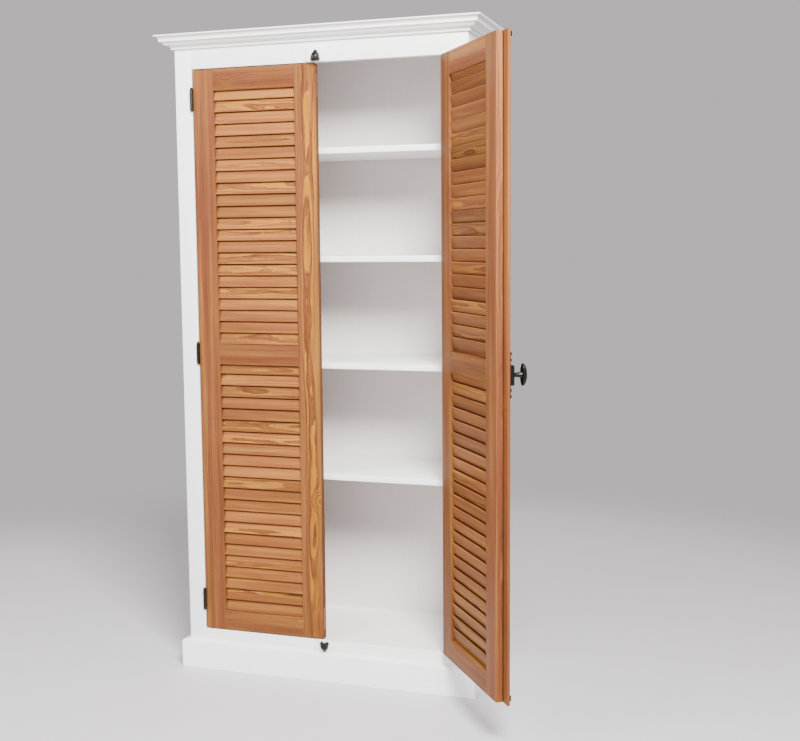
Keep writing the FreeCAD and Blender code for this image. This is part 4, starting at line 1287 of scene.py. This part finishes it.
@dataclass
class LouvredDoor:
    """One door: two stiles, three rails and two panels of fixed louvres.

    It is built shut; the right door is the left one's mirror image and is then swung open.

    Attributes:
        side: Which door.
        finishes: The cabinet's materials.
        arris: Radius along the door's outer edges.
        corner: Radius of its four corners.
        inner_arris: Radius along the panels.
        slat_thickness: Thickness of a louvre.
        slat_width: Width of a louvre.
        slat_nose: Radius of a louvre's edges.
        slat_tilt: How far a louvre leans from upright.
        slat_play: How far a single louvre strays from that, in degrees.
        slat_tone: How much lighter or darker than the others a louvre can be.
        slat_figured: Share of the louvres that are cut in front of the heart and so figured.
        slat_count: Louvres in a panel.
        first_drop: Distance of the first louvre's bottom edge from the rail above.
        last_rise: Distance of the last louvre's bottom edge from the rail below.
        housing: How far a louvre goes into each stile.
        gathered_width: Width of the painted shade at each end of a louvre.
        gathered: How much painted shade a louvre's lapped corners take at its ends.
        joint_stain: How much painted shade a meeting stile's free edge takes, for each side.
        board_cuts: Where in its log each board lies, as Timber.mark has it.
        right_cuts: Boards of the right door that come from elsewhere; the top rail's lift is painted light.
    """

    side: Side
    finishes: Finishes
    arris: float = 2.6 * MM
    corner: float = 5.0 * MM
    inner_arris: float = 0.7 * MM
    slat_thickness: float = 5.5 * MM
    slat_width: float = 42.0 * MM
    slat_nose: float = 1.9 * MM
    slat_tilt: float = math.radians(14.0)
    slat_play: float = 0.5
    slat_tone: float = 0.2
    slat_figured: float = 0.35
    slat_count: int = 22
    first_drop: float = 29.0 * MM
    last_rise: float = 0.3 * MM
    housing: float = 5.8 * MM
    gathered_width: float = 5.0 * MM
    gathered: float = 0.8
    joint_stain: dict[Side, float] = field(default_factory=lambda: {Side.LEFT: 0.4, Side.RIGHT: 0.52})
    board_cuts: dict[str, Point] = field(
        default_factory=lambda: {
            "hinge_stile": (0.074, 0.030, 0.0),
            "meeting_stile": (-0.006, 0.046, 0.0),
            "top_rail": (0.060, 0.022, -0.1),
            "middle_rail": (0.082, 0.026, -0.1),
            "bottom_rail": (-0.064, 0.030, -0.1),
        }
    )
    right_cuts: dict[str, Point] = field(
        default_factory=lambda: {
            "meeting_stile": (0.085, 0.024, 0.14),
            # painted light: the top rail's high tone lightens it, standing in for light and sheen on the open
            # door's inner face
            "top_rail": (-0.05, 0.03, 0.5),
        }
    )

    def __post_init__(self) -> None:
        """Starts this door's own run of chance, and picks its boards."""
        self.chance = random.Random(self.side.word)
        if self.side is Side.RIGHT:
            self.board_cuts.update(self.right_cuts)

    def build(self) -> None:
        """Makes every wooden piece of the door."""
        for stile in ("hinge_stile", "meeting_stile"):
            self._stile(stile)
        for rail in ("top_rail", "middle_rail", "bottom_rail"):
            self._rail(rail)
        for panel in ("upper", "lower"):
            self._louvres(panel)

    def _shut(self, name: str) -> Box:
        """Measures one of the door's nodes while the door is shut.

        Args:
            name: The node's name without its side.

        Returns:
            Its lowest and highest corner.
        """
        low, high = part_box(f"left_{name}")
        if self.side is Side.LEFT:
            return low, high
        return Vector((-high.x, low.y, low.z)), Vector((-low.x, high.y, high.z))

    def _opening(self) -> tuple[float, float]:
        """Measures the room between the two stiles.

        Returns:
            Its lowest and highest X.
        """
        one = self._shut("hinge_stile")
        other = self._shut("meeting_stile")
        left, right = sorted((one, other), key=lambda box: box[0].x)
        return left[1].x, right[0].x

    def _stile(self, name: str) -> None:
        """Makes a stile with rounded outer corners and arrises.

        Args:
            name: The node's name without its side.
        """
        low, high = self._shut(name)
        stile = Bench.block(f"{self.side.word}_door_{name}", low, high)
        outer, inner = (low.x, high.x) if near(high.x, self._opening()[0]) else (high.x, low.x)
        on_outer, on_inner = both_at("x", outer), both_at("x", inner)
        for radius, wanted, segments in (
            (self.corner, lambda a, b: on_outer(a, b) and near(a.z, b.z), 4),
            (self.arris, lambda a, b: near(a.y, b.y) and not on_inner(a, b), 4),
            (
                self.inner_arris,
                lambda a, b: on_inner(a, b) and near(a.y, b.y) and not near(a.z, b.z),
                2,
            ),
        ):
            Bench.round_edges(stile, radius, wanted, segments)
        if self.side is Side.LEFT and name == "meeting_stile":
            for tool in [t for level in Level for t in BoltSeat(level).in_stile(outer)]:
                Bench.carve(stile, tool)
        UPRIGHT_GRAIN.mark(stile, [(low + high) / 2], [self.board_cuts[name]])
        if name == "meeting_stile":
            # painted shade on the free edge: the whole edge face of the left door, and only the front of the right
            # one's edge, in the groove beside its strip
            depth = 0.7 * self.arris if self.side is Side.RIGHT else high.y - low.y
            held, reach = self.joint_stain[self.side], 0.3 * self.arris
            Timber.stain_edge(
                stile, lambda p: held if near(p.x, outer, reach) and p.y < low.y + depth else 0.0
            )
        self._finish(stile, self.finishes.stile_wood, name)

    def _rail(self, name: str) -> None:
        """Makes a rail between the stiles, rounded along the door's outer edge.

        Args:
            name: The node's name without its side.
        """
        low, high = self._shut(name)
        low.x, high.x = self._opening()
        rail = Bench.block(f"{self.side.word}_door_{name}", low, high)
        outer = {"top_rail": high.z, "bottom_rail": low.z}.get(name, math.inf)
        for radius, is_outer, segments in ((self.inner_arris, False, 2), (self.arris, True, 4)):
            Bench.round_edges(
                rail,
                radius,
                lambda a, b: not near(a.x, b.x) and near(a.z, outer) == is_outer,
                segments,
            )
        LEVEL_GRAIN.mark(rail, [(low + high) / 2], [self.board_cuts[name]])
        self._finish(rail, self.finishes.stile_wood, name)

    def _louvres(self, panel: str) -> None:
        """Makes the slats of one panel, the first one cut level under the rail above it.

        Args:
            panel: "upper" or "lower".
        """
        bottom, top = self._panel_levels(panel)
        left, right = self._opening()
        low, high = self._shut("hinge_stile")
        half_rise = (
            (self.slat_width / 2 - self.slat_nose) * math.cos(self.slat_tilt)
            + (self.slat_thickness / 2 - self.slat_nose) * math.sin(self.slat_tilt)
            + self.slat_nose
        )
        pitch = (top - self.first_drop - bottom - self.last_rise) / (self.slat_count - 1)
        reach = (right - left) / 2 + self.housing
        middle = (low.y + high.y) / 2
        centre = Vector(((left + right) / 2, middle, top - self.first_drop + half_rise))
        head = self._slat(f"{self.side.word}_{panel}_head_slat", centre, reach)
        self._lean(head, centre)
        Bench.cut(head, (0, 0, top), (0, 0, 1))
        self._grain().mark(head, [centre], [self._slat_cut()], [-1.0])
        centres = [centre - Vector((0, 0, pitch * i)) for i in range(1, self.slat_count)]
        row = self._slat(f"{self.side.word}_{panel}_louvres", centres[0], reach)
        array = row.modifiers.new("row", "ARRAY")
        array.count = len(centres)
        array.use_relative_offset = False
        array.use_constant_offset = True
        array.constant_offset_displace = (0, 0, -pitch)
        Bench.use(row)
        bpy.ops.object.modifier_apply(modifier=array.name)
        self._lean_each(row, centres)
        bare = [0.0] * (len(centres) - 1) + [1.0]
        self._grain().mark(row, centres, [self._slat_cut() for _ in centres], bare)
        louvres = Bench.joined(f"{self.side.word}_door_{panel}_louvres", [row, head])
        self._finish(louvres, self.finishes.slat_wood, f"{panel}_slats")

    def _panel_levels(self, panel: str) -> tuple[float, float]:
        """Measures a panel's opening.

        Args:
            panel: "upper" or "lower".

        Returns:
            Its bottom and top level.
        """
        middle_low, middle_high = self._shut("middle_rail")
        if panel == "upper":
            return middle_high.z, self._shut("top_rail")[0].z
        return self._shut("bottom_rail")[1].z, middle_low.z

    def _slat(self, name: str, centre: Vector, reach: float) -> Thing:
        """Makes one upright slat with rounded noses.

        Args:
            name: The object's name.
            centre: Middle of the slat.
            reach: Half its length.

        Returns:
            The slat.
        """
        half = Vector((reach, self.slat_thickness / 2, self.slat_width / 2))
        slat = Bench.block(name, centre - half, centre + half)
        Bench.round_edges(slat, self.slat_nose, lambda a, b: not near(a.x, b.x), segments=4)
        free = reach - self.housing
        for x in (-free, self.gathered_width - free, free - self.gathered_width, free):
            Bench.score(slat, centre.x + x)
        # painted shade in the lapped corners at both ends, where the gap between louvres lies in shadow by the
        # stiles
        Timber.stain_edge(slat, lambda p: self._gathered_at(p - centre, free))
        return slat

    def _gathered_at(self, place: Vector, free: float) -> float:
        """How much painted shade a point of an upright slat takes: all of it in the lapped corners at its ends."""
        lapped = place.y * place.z < 0
        return self.gathered if lapped and abs(place.x) > free - 0.5 * MM else 0.0

    def _slat_cut(self) -> Point:
        """Picks the part of the log that a slat comes from, most often well aside of the heart.

        Returns:
            Distance of the heart aside and behind, in metres, and the slat's tone.
        """
        tone = self.chance.uniform(-self.slat_tone, self.slat_tone)
        if self.chance.random() < self.slat_figured:
            return self.chance.uniform(-0.012, 0.012), self.chance.uniform(0.018, 0.05), tone
        aside = self.chance.choice((-1, 1)) * self.chance.uniform(0.03, 0.11)
        return aside, self.chance.uniform(0.02, 0.05), tone

    def _grain(self) -> Timber:
        """Directions of a slat as it stands in its housings."""
        lean = Matrix.Rotation(-self.slat_tilt, 3, "X")
        return Timber(lean @ Vector((0, 0, 1)), lean @ Vector((0, 1, 0)), Vector((1, 0, 0)))

    def _lean(self, slat: Thing, centre: Vector) -> None:
        """Leans one slat so that its top is further in than its bottom."""
        place = Matrix.Translation(centre)
        slat.data.transform(place @ Matrix.Rotation(-self.slat_tilt, 4, "X") @ place.inverted())

    def _lean_each(self, row: Thing, centres: Sequence[Vector]) -> None:
        """Leans every slat of a row, each by a slightly different amount.

        Args:
            row: The slats, in one mesh.
            centres: Centre of each slat.
        """
        mesh = row.data
        points = np.empty(len(mesh.vertices) * 3)
        mesh.vertices.foreach_get("co", points)
        blocks = points.reshape(len(centres), -1, 3)
        for block, centre in zip(blocks, centres):
            play = self.chance.uniform(-self.slat_play, self.slat_play)
            turn = np.array(Matrix.Rotation(-self.slat_tilt + math.radians(play), 3, "X"))
            block[:] = (block - np.array(centre)) @ turn.T + np.array(centre)
        mesh.vertices.foreach_set("co", blocks.ravel())
        mesh.update()

    def _finish(self, thing: Thing, material: Material, node: str) -> None:
        """Dresses one wooden piece of the door."""
        finish_piece(thing, self.side.body, material, [f"{self.side.word}_{node}"])


# ------------------------------------------------------------------------------------- ironwork


@dataclass
class HingePins:
    """Six hinge pins, each with a turned button at both ends.

    Attributes:
        finishes: The cabinet's materials.
        shaft: Radius of the shaft, in millimetres.
        gap: Two points of a side that lie further apart than this belong to different pins.
        button: Distance from the hinge and radius of each ring of a button, in millimetres.
    """

    finishes: Finishes
    shaft: float = 2.98
    gap: float = 200.0 * MM
    button: Section = (
        (0.0, 4.9), (1.2, 5.0), (1.8, 4.2), (2.6, 3.4), (3.4, 3.9), (5.0, 4.3), (6.4, 3.7),
        (7.4, 2.2), (8.0, 0.5),
    )

    def build(self) -> None:
        """Makes all pins as one piece in place of the plain ones."""
        points = np.array([v.co for v in frame["nodes"]["hinge_pins"].data.vertices])
        parts = []
        for sign in (-1, 1):
            side = points[points[:, 0] * sign > 0]
            x, y, _ = (side.min(0) + side.max(0)) / 2
            for low, high in self._spans(side[:, 2]):
                parts += self._pin(x, y, low, high)
        pins = Bench.joined("turned_hinge_pins", parts)
        finish_piece(pins, "carcass", self.finishes.iron, ["hinge_pins"])

    def _spans(self, levels: np.ndarray) -> list[tuple[float, float]]:
        """Finds the pins of one side.

        Args:
            levels: Z of all their points.

        Returns:
            Lowest and highest level of each pin.
        """
        ordered = np.unique(levels.round(5))
        breaks = np.where(np.diff(ordered) > self.gap)[0]
        starts = [ordered[0], *ordered[breaks + 1]]
        ends = [*ordered[breaks], ordered[-1]]
        return list(zip(starts, ends))

    def _pin(self, x: float, y: float, low: float, high: float) -> list[Thing]:
        """Makes one pin.

        Args:
            x: X of its axis.
            y: Y of its axis.
            low: Level of its foot.
            high: Level of its top.

        Returns:
            Its shaft and two buttons.
        """
        length = self.button[-1][0] * MM
        start, end = (x, y, low + length), (x, y, high - length)
        rings = ((0.0, self.shaft), ((end[2] - start[2]) / MM, self.shaft))
        return [
            Bench.turned("pin_shaft", rings, start, sides=20),
            Bench.turned("pin_top", self.button, end, sides=28),
            Bench.turned("pin_foot", self.button, start, DOWNWARDS, sides=28),
        ]


@dataclass
class Keepers:
    """Cast bells over and under the doors that catch the ends of the bolt's rods.

    Attributes:
        finishes: The cabinet's materials.
        axis_x: Where the rods' axis is.
        bell: Height over the mouth and half width of the bell, in millimetres.
        fullness: Power of the bell's plan; 2 is an ellipse, and more is squarer.
        ear_aside: Distance of the ears from the axis.
        ear_rise: Distance of the ears from the mouth.
        ear: Depth and radius of an ear, in millimetres.
        socket: Half width, depth and height of the socket for the rod.
        shank: Depth and radius of a screw's shank, in millimetres.
        head: Height over its seat and radius of a screw's head, in millimetres.
        head_seat: How far the head's seat is sunk into the ear, in millimetres.
        slot: Half length, half width and height over the seat of the screw's slot.
    """

    finishes: Finishes
    axis_x: float = 3.0 * MM
    bell: Section = (
        (0.0, 10.8), (1.2, 12.0), (3.0, 12.3), (4.4, 11.7), (6.0, 11.9), (10.0, 12.3),
        (14.0, 12.0), (17.5, 11.3), (20.4, 10.3), (22.6, 9.0), (24.6, 7.4), (26.2, 6.2),
        (27.2, 5.7), (28.4, 5.6), (29.6, 5.1), (30.7, 4.0), (31.6, 2.4), (32.0, 0.6),
    )
    fullness: float = 2.7
    ear_aside: float = 10.05 * MM
    ear_rise: float = 5.6 * MM
    ear: Section = ((0.0, 4.3), (6.4, 4.3), (7.4, 3.9), (7.8, 3.2))
    socket: Point = (5.6 * MM, 12.0 * MM, 12.5 * MM)
    shank: Section = ((-13.0, 0.4), (-11.5, 1.4), (0.0, 1.5))
    head: Section = ((0.0, 1.5), (0.0, 2.9), (0.9, 2.8), (1.6, 2.2), (2.0, 1.2), (2.1, 0.3))
    head_seat: float = 0.6
    slot: Point = (4.0 * MM, 0.35 * MM, 1.1 * MM)

    def build(self) -> None:
        """Makes both keepers and the four screws that hold them."""
        iron = self.finishes.iron
        screws = []
        for word, level in (("top", Level.UPPER), ("bottom", Level.LOWER)):
            low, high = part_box(f"keeper_{word}")
            mouth = low.z if level is Level.UPPER else high.z
            parts = [self._bell(level, mouth, high.y, low.y)]
            for sign in (-1, 1):
                x = self.axis_x + sign * self.ear_aside
                place = (x, high.y, mouth + level.value * self.ear_rise)
                parts.append(Bench.turned("ear", self.ear, place, FORWARDS, sides=24))
                screws.append(self._screw(place))
            keeper = Bench.joined(f"cast_keeper_{word}", parts)
            finish_piece(keeper, "carcass", iron, [f"keeper_{word}"])
        held = Bench.joined("keeper_round_head_screws", screws)
        finish_piece(held, "carcass", iron, ["keeper_screws"])

    def _bell(self, level: Level, mouth: float, back: float, front: float) -> Thing:
        """Makes half a bell, fuller at its corners than a round one, with its socket cut out.

        Args:
            level: Which of the two keepers.
            mouth: Level of its mouth.
            back: Y of its flat back.
            front: Y of its foremost point.

        Returns:
            The bell.
        """
        bell = Bench.turned("bell", self.bell, (self.axis_x, back, mouth), level.turn)
        widest = max(wide for _, wide in self.bell) * MM
        for vertex in bell.data.vertices:
            out = Vector((vertex.co.x - self.axis_x, vertex.co.y - back))
            if out.length > 1e-9:
                ray = out.normalized()
                power = self.fullness
                fuller = (abs(ray.x) ** power + abs(ray.y) ** power) ** (-1 / power)
                vertex.co.x = self.axis_x + out.x * fuller
                vertex.co.y = back + out.y * fuller * (back - front) / widest
        Bench.cut(bell, (0, back, 0), (0, 1, 0))
        Bench.tidy_normals(bell)
        half, deep, tall = self.socket
        low, high = sorted((mouth - level.value * MM, mouth + level.value * tall))
        left, right = self.axis_x - half, self.axis_x + half
        socket = Bench.block("socket", (left, back - deep, low), (right, back + MM, high))
        Bench.carve(bell, socket)
        return bell

    def _screw(self, place: Point) -> Thing:
        """Makes one slotted round-head screw through an ear into the block.

        Args:
            place: Middle of the ear's back.

        Returns:
            The screw.
        """
        seat = self.ear[-1][0] - self.head_seat
        rings = (*self.shank, *((seat + height, wide) for height, wide in self.head))
        screw = Bench.turned("round_head_screw", rings, place, FORWARDS, sides=20)
        half, narrow, rise = self.slot
        x, y, z = place
        outer, inner = y - (seat + 3.0) * MM, y - seat * MM - rise
        slot = Bench.block("slot", (x - half, outer, z - narrow), (x + half, inner, z + narrow))
        Bench.carve(screw, slot)
        return screw


@dataclass
class SurfaceBolt:
    """The right door's cover strip and the bolt on it: case, collars and oval knob.

    Attributes:
        finishes: The cabinet's materials.
        strip_arris: Radius of the strip's front edges.
        strip_back_arris: Radius of its back edges.
        strip_play: Air between the strip and the other door.
        strip_cut: Where in its log the strip lies, as Timber.mark has it.
        groove: How far the painted shade reaches to each side of the joint behind the strip.
        groove_stain: How much painted shade that joint takes.
        case_corner: Radius of the case's upright corners.
        case_arris: Radius round the case's face.
        boss: Height over the face and radius of the boss, in millimetres.
        rod_axis: Distance of the rods' axis from the case's back.
        collar: Distance from the case and radius of each ring of a collar, in millimetres.
        spindle: Distance from the knob's back end and radius of each ring of the spindle and its
            disc, in millimetres.
        neck: Distance from the knob's foremost point and radius of each ring of the neck, in
            millimetres.
        olive: Half sizes of the oval knob in front of its ridge.
        olive_ridge: Distance of its ridge from its foremost point.
        olive_back: Depth of the knob behind its ridge.
    """

    finishes: Finishes
    strip_arris: float = 2.4 * MM
    strip_back_arris: float = 1.2 * MM
    strip_play: float = 0.02 * MM
    strip_cut: Point = (0.05, 0.028, 0.08)
    groove: tuple[float, float] = (3.4 * MM, 0.3 * MM)
    groove_stain: float = 0.68
    case_corner: float = 4.0 * MM
    case_arris: float = 2.6 * MM
    boss: Section = ((-1.0, 8.2), (0.0, 8.2), (0.12, 8.0), (0.2, 7.6))
    rod_axis: float = 5.8 * MM
    collar: Section = (
        (0.0, 7.5), (8.5, 7.5), (9.0, 8.6), (10.0, 9.8), (12.5, 10.0), (15.0, 9.8), (16.0, 8.6),
        (16.5, 7.5), (24.5, 7.4), (25.0, 8.6), (26.0, 9.8), (28.5, 10.0), (31.0, 9.8),
        (32.2, 8.8), (32.6, 7.4), (33.56, 6.6),
    )
    spindle: Section = ((0.0, 3.0), (6.3, 3.0), (6.3, 7.49), (12.3, 7.49), (12.3, 4.0))
    neck: Section = (
        (39.0, 4.0), (39.0, 8.0), (38.0, 8.0), (37.2, 7.2), (36.0, 6.3), (33.0, 6.0),
        (28.0, 6.2), (23.0, 6.8), (19.0, 7.8), (16.0, 8.8), (12.0, 6.0),
    )
    olive: Point = (13.0 * MM, 11.99 * MM, 29.5 * MM)
    olive_ridge: float = 12.0 * MM
    olive_back: float = 4.4 * MM

    def build(self) -> None:
        """Makes the strip, the lock case and the knob."""
        self._strip()
        self._case()
        self._knob()

    def _strip(self) -> None:
        """Makes the long flat strip that laps over the other door."""
        low, high = HANGING.shut_box("cover_strip")
        high.y -= self.strip_play
        strip = Bench.block("stained_cover_strip", low, high)
        Bench.round_edges(strip, self.strip_arris, both_at("y", low.y), 4)
        Bench.round_edges(strip, self.strip_back_arris, both_at("y", high.y), 3)
        edge = HANGING.shut_box("right_meeting_stile")[0].x
        Bench.score(strip, edge + self.groove[1])
        Bench.score(strip, edge - self.groove[0])
        UPRIGHT_GRAIN.mark(strip, [(low + high) / 2], [self.strip_cut])
        # painted shade in the groove where the strip's back meets the stile's edge
        back = high.y - self.strip_back_arris - 0.1 * MM
        Timber.stain_edge(
            strip,
            lambda p: self.groove_stain if p.y > back and near(p.x, edge, 0.5 * MM) else 0.0,
        )
        wood = self.finishes.stile_wood
        finish_piece(strip, "right_door", wood, ["cover_strip"])

    def _case(self) -> None:
        """Makes the case over the knob's disc, with a turned collar round each rod."""
        low, high = HANGING.shut_box("lock_case")
        face, back = low.y, high.y
        x, z = (low.x + high.x) / 2, (low.z + high.z) / 2
        half_width = (high.x - low.x) / 2
        half_length = (high.z - low.z) / 2 - self.collar[-1][0] * MM
        box = Bench.block(
            "case_box",
            (x - half_width, face, z - half_length),
            (x + half_width, back, z + half_length),
        )
        upright = lambda a, b: near(a.x, b.x) and near(a.z, b.z)
        Bench.round_edges(box, self.case_corner, upright, 4)
        Bench.round_edges(box, self.case_arris, both_at("y", face), 4)
        parts = [box, Bench.turned("case_boss", self.boss, (x, face, z), FORWARDS)]
        for level in Level:
            place = (x, back - self.rod_axis, z + level.value * half_length)
            collar = Bench.turned("collar", self.collar, place, level.turn)
            Bench.cut(collar, (0, back, 0), (0, 1, 0))
            parts.append(collar)
        case = Bench.joined("cast_lock_case", parts)
        finish_piece(case, "right_door", self.finishes.iron, ["lock_case"])

    def _knob(self) -> None:
        """Makes the oval knob on its flared neck, with the spindle and disc behind it."""
        low, high = HANGING.shut_box("knob")
        x, z = (low.x + high.x) / 2, (low.z + high.z) / 2
        reach = (high.y - low.y) / MM
        rings = (*self.spindle, *((reach - place, wide) for place, wide in self.neck))
        neck = Bench.turned("knob_neck", rings, (x, high.y, z), FORWARDS, sides=48)
        ridge = low.y + self.olive_ridge
        Bench.clear()
        bpy.ops.mesh.primitive_uv_sphere_add(
            segments=56, ring_count=32, radius=1.0, location=(x, ridge, z), scale=self.olive
        )
        olive = bpy.context.object
        Bench.settle(olive)
        for vertex in olive.data.vertices:
            if vertex.co.y > ridge:
                vertex.co.y = ridge + (vertex.co.y - ridge) * self.olive_back / self.olive_ridge
        knob = Bench.joined("oval_knob", [olive, neck])
        finish_piece(knob, "knob", self.finishes.iron, ["knob"])


# ------------------------------------------------------------------------------------- the rest


@dataclass
class PlainNodes:
    """Nodes whose shape stays as it is, and only take their finish.

    Attributes:
        finishes: The cabinet's materials.
        strokes: The painted boards that don't run across.
    """

    finishes: Finishes
    strokes: dict[str, Stroke] = field(
        default_factory=lambda: {
            "side_panel_left": Stroke.UPRIGHT,
            "side_panel_right": Stroke.UPRIGHT,
            "centre_bearer": Stroke.DEEP,
        }
    )

    def dress(self) -> None:
        """Gives every node its finish."""
        slots = {s["node"]: s["material_slot"] for s in frame["record"]["subparts"]}
        for name, thing in frame["nodes"].items():
            thing.data.materials.clear()
            thing.data.materials.append(self._material(name, slots[name]))

    def _material(self, name: str, slot: str) -> Material:
        """Picks the finish of one node.

        Args:
            name: The node.
            slot: Its material slot in the record.

        Returns:
            The finish.
        """
        if name.startswith("flush_bolt"):
            return self.finishes.bronze
        by_name = {"strike_plates": self.finishes.lacquered, "back_panel": self.finishes.inside}
        by_slot = {
            "black_iron": self.finishes.iron,
            "steel": self.finishes.steel,
            "stained_pine": self.finishes.stile_wood,
        }
        painted = self.finishes.paint[self.strokes.get(name, Stroke.ACROSS)]
        return by_name.get(name) or by_slot.get(slot, painted)


@dataclass
class Studio:
    """Pale floor, soft light and the camera.

    Attributes:
        camera_place: Where the camera stands, in metres.
        yaw: Turn of the camera to the right, in radians.
        pitch: Turn of the camera upwards.
        roll: Lean of the camera.
        focal_px: Focal length in pixels of the image.
        image_width: Width of the image in pixels.
        sensor: Width of the camera's sensor, in millimetres.
        floor_colour: Colour of the floor.
        floor_place: Middle of the floor, a little under the cabinet.
        floor_radius: Radius of the floor.
        fade: Distances from the middle over which the floor fades away.
        wall_colour: Colour of the surroundings.
    """

    camera_place: Point = (1.3199, -3.4314, 1.3265)
    yaw: float = -0.3177
    pitch: float = -0.1069
    roll: float = -0.0087
    focal_px: float = 1184.9
    image_width: int = 800
    sensor: float = 36.0
    floor_colour: str = "#C6C3C5"
    floor_place: Point = (0.2, -0.3, -0.0005)
    floor_radius: float = 4.0
    fade: tuple[float, float] = (1.7, 3.2)
    wall_colour: str = "#CDC7CA"

    def build(self) -> None:
        """Makes the floor, the lights and the camera."""
        self._world()
        self._floor()
        # a high key light from the right of the front, and a wide soft fill from the left
        self._light("key", (1.65, -2.6, 3.1), (0.0, -0.17, 1.1), 1.2, 500.0)
        self._light("left_fill", (-2.4, -2.9, 2.8), (0.1, -0.17, 1.1), 2.4, 160.0)
        self._camera()

    def _world(self) -> None:
        """Makes even grey surroundings."""
        world = bpy.data.worlds.new("studio")
        bpy.context.scene.world = world
        world.use_nodes = True
        world.node_tree.nodes.clear()
        glow = add_node(world.node_tree, "Background", self.wall_colour, 1.0)
        add_node(world.node_tree, "OutputWorld", glow)

    def _floor(self) -> None:
        """Makes a pale matt floor that fades into the surroundings."""
        Bench.clear()
        bpy.ops.mesh.primitive_circle_add(
            vertices=96, radius=self.floor_radius, fill_type="NGON", location=self.floor_place
        )
        floor = bpy.context.object
        floor.name = "studio_floor"
        Bench.settle(floor)
        material, add = blank_material("pale_matt_floor")
        place = add("TexCoord", output="Object")
        distance = add("VectorMath", place, operation="LENGTH")
        fade = add("MapRange", distance, *self.fade, interpolation_type="SMOOTHERSTEP")
        matt = add("BsdfPrincipled", self.floor_colour, sockets={"Roughness": 0.6})
        add("OutputMaterial", add("MixShader", fade, matt, add("BsdfTransparent")))
        floor.data.materials.append(material)

    def _light(self, name: str, place: Point, target: Point, size: float, power: float) -> None:
        """Adds one square area light.

        Args:
            name: The light's name.
            place: Where it is, in metres.
            target: Point that it faces.
            size: Length of its sides.
            power: Power in watts.
        """
        lamp = bpy.data.lights.new(name, "AREA")
        lamp.size = size
        lamp.energy = power
        thing = bpy.data.objects.new(name, lamp)
        thing.location = place
        thing.rotation_euler = (Vector(target) - Vector(place)).to_track_quat("-Z", "Y").to_euler()
        bpy.context.scene.collection.objects.link(thing)

    def _camera(self) -> None:
        """Places the camera at a standing person's height, a little to the right."""
        data = bpy.data.cameras.new("camera")
        data.sensor_fit = "HORIZONTAL"
        data.sensor_width = self.sensor
        data.lens = self.focal_px / self.image_width * self.sensor
        level = math.cos(self.pitch)
        forward = Vector(
            (math.sin(self.yaw) * level, math.cos(self.yaw) * level, math.sin(self.pitch))
        )
        right = Vector((math.cos(self.yaw), -math.sin(self.yaw), 0))
        up = right.cross(forward)
        across = right * math.cos(self.roll) + up * math.sin(self.roll)
        upright = up * math.cos(self.roll) - right * math.sin(self.roll)
        turn = Matrix((across, upright, -forward)).transposed().to_4x4()
        camera = bpy.data.objects.new("camera", data)
        camera.matrix_world = Matrix.Translation(self.camera_place) @ turn
        bpy.context.scene.collection.objects.link(camera)
        bpy.context.scene.camera = camera


def main() -> None:
    """Builds the cabinet's looks in order."""
    logging.basicConfig(level=logging.INFO, format="%(message)s")
    finishes = Finishes()
    PlainNodes(finishes).dress()
    PaintedBoards(finishes).build()
    Moulding("cornice", cornice_section(), finishes).build()
    Moulding("plinth", plinth_section(), finishes).build()
    for side in Side:
        LouvredDoor(side, finishes).build()
    HingePins(finishes).build()
    Keepers(finishes).build()
    SurfaceBolt(finishes).build()
    Studio().build()


if __name__ == "__main__":
    main()
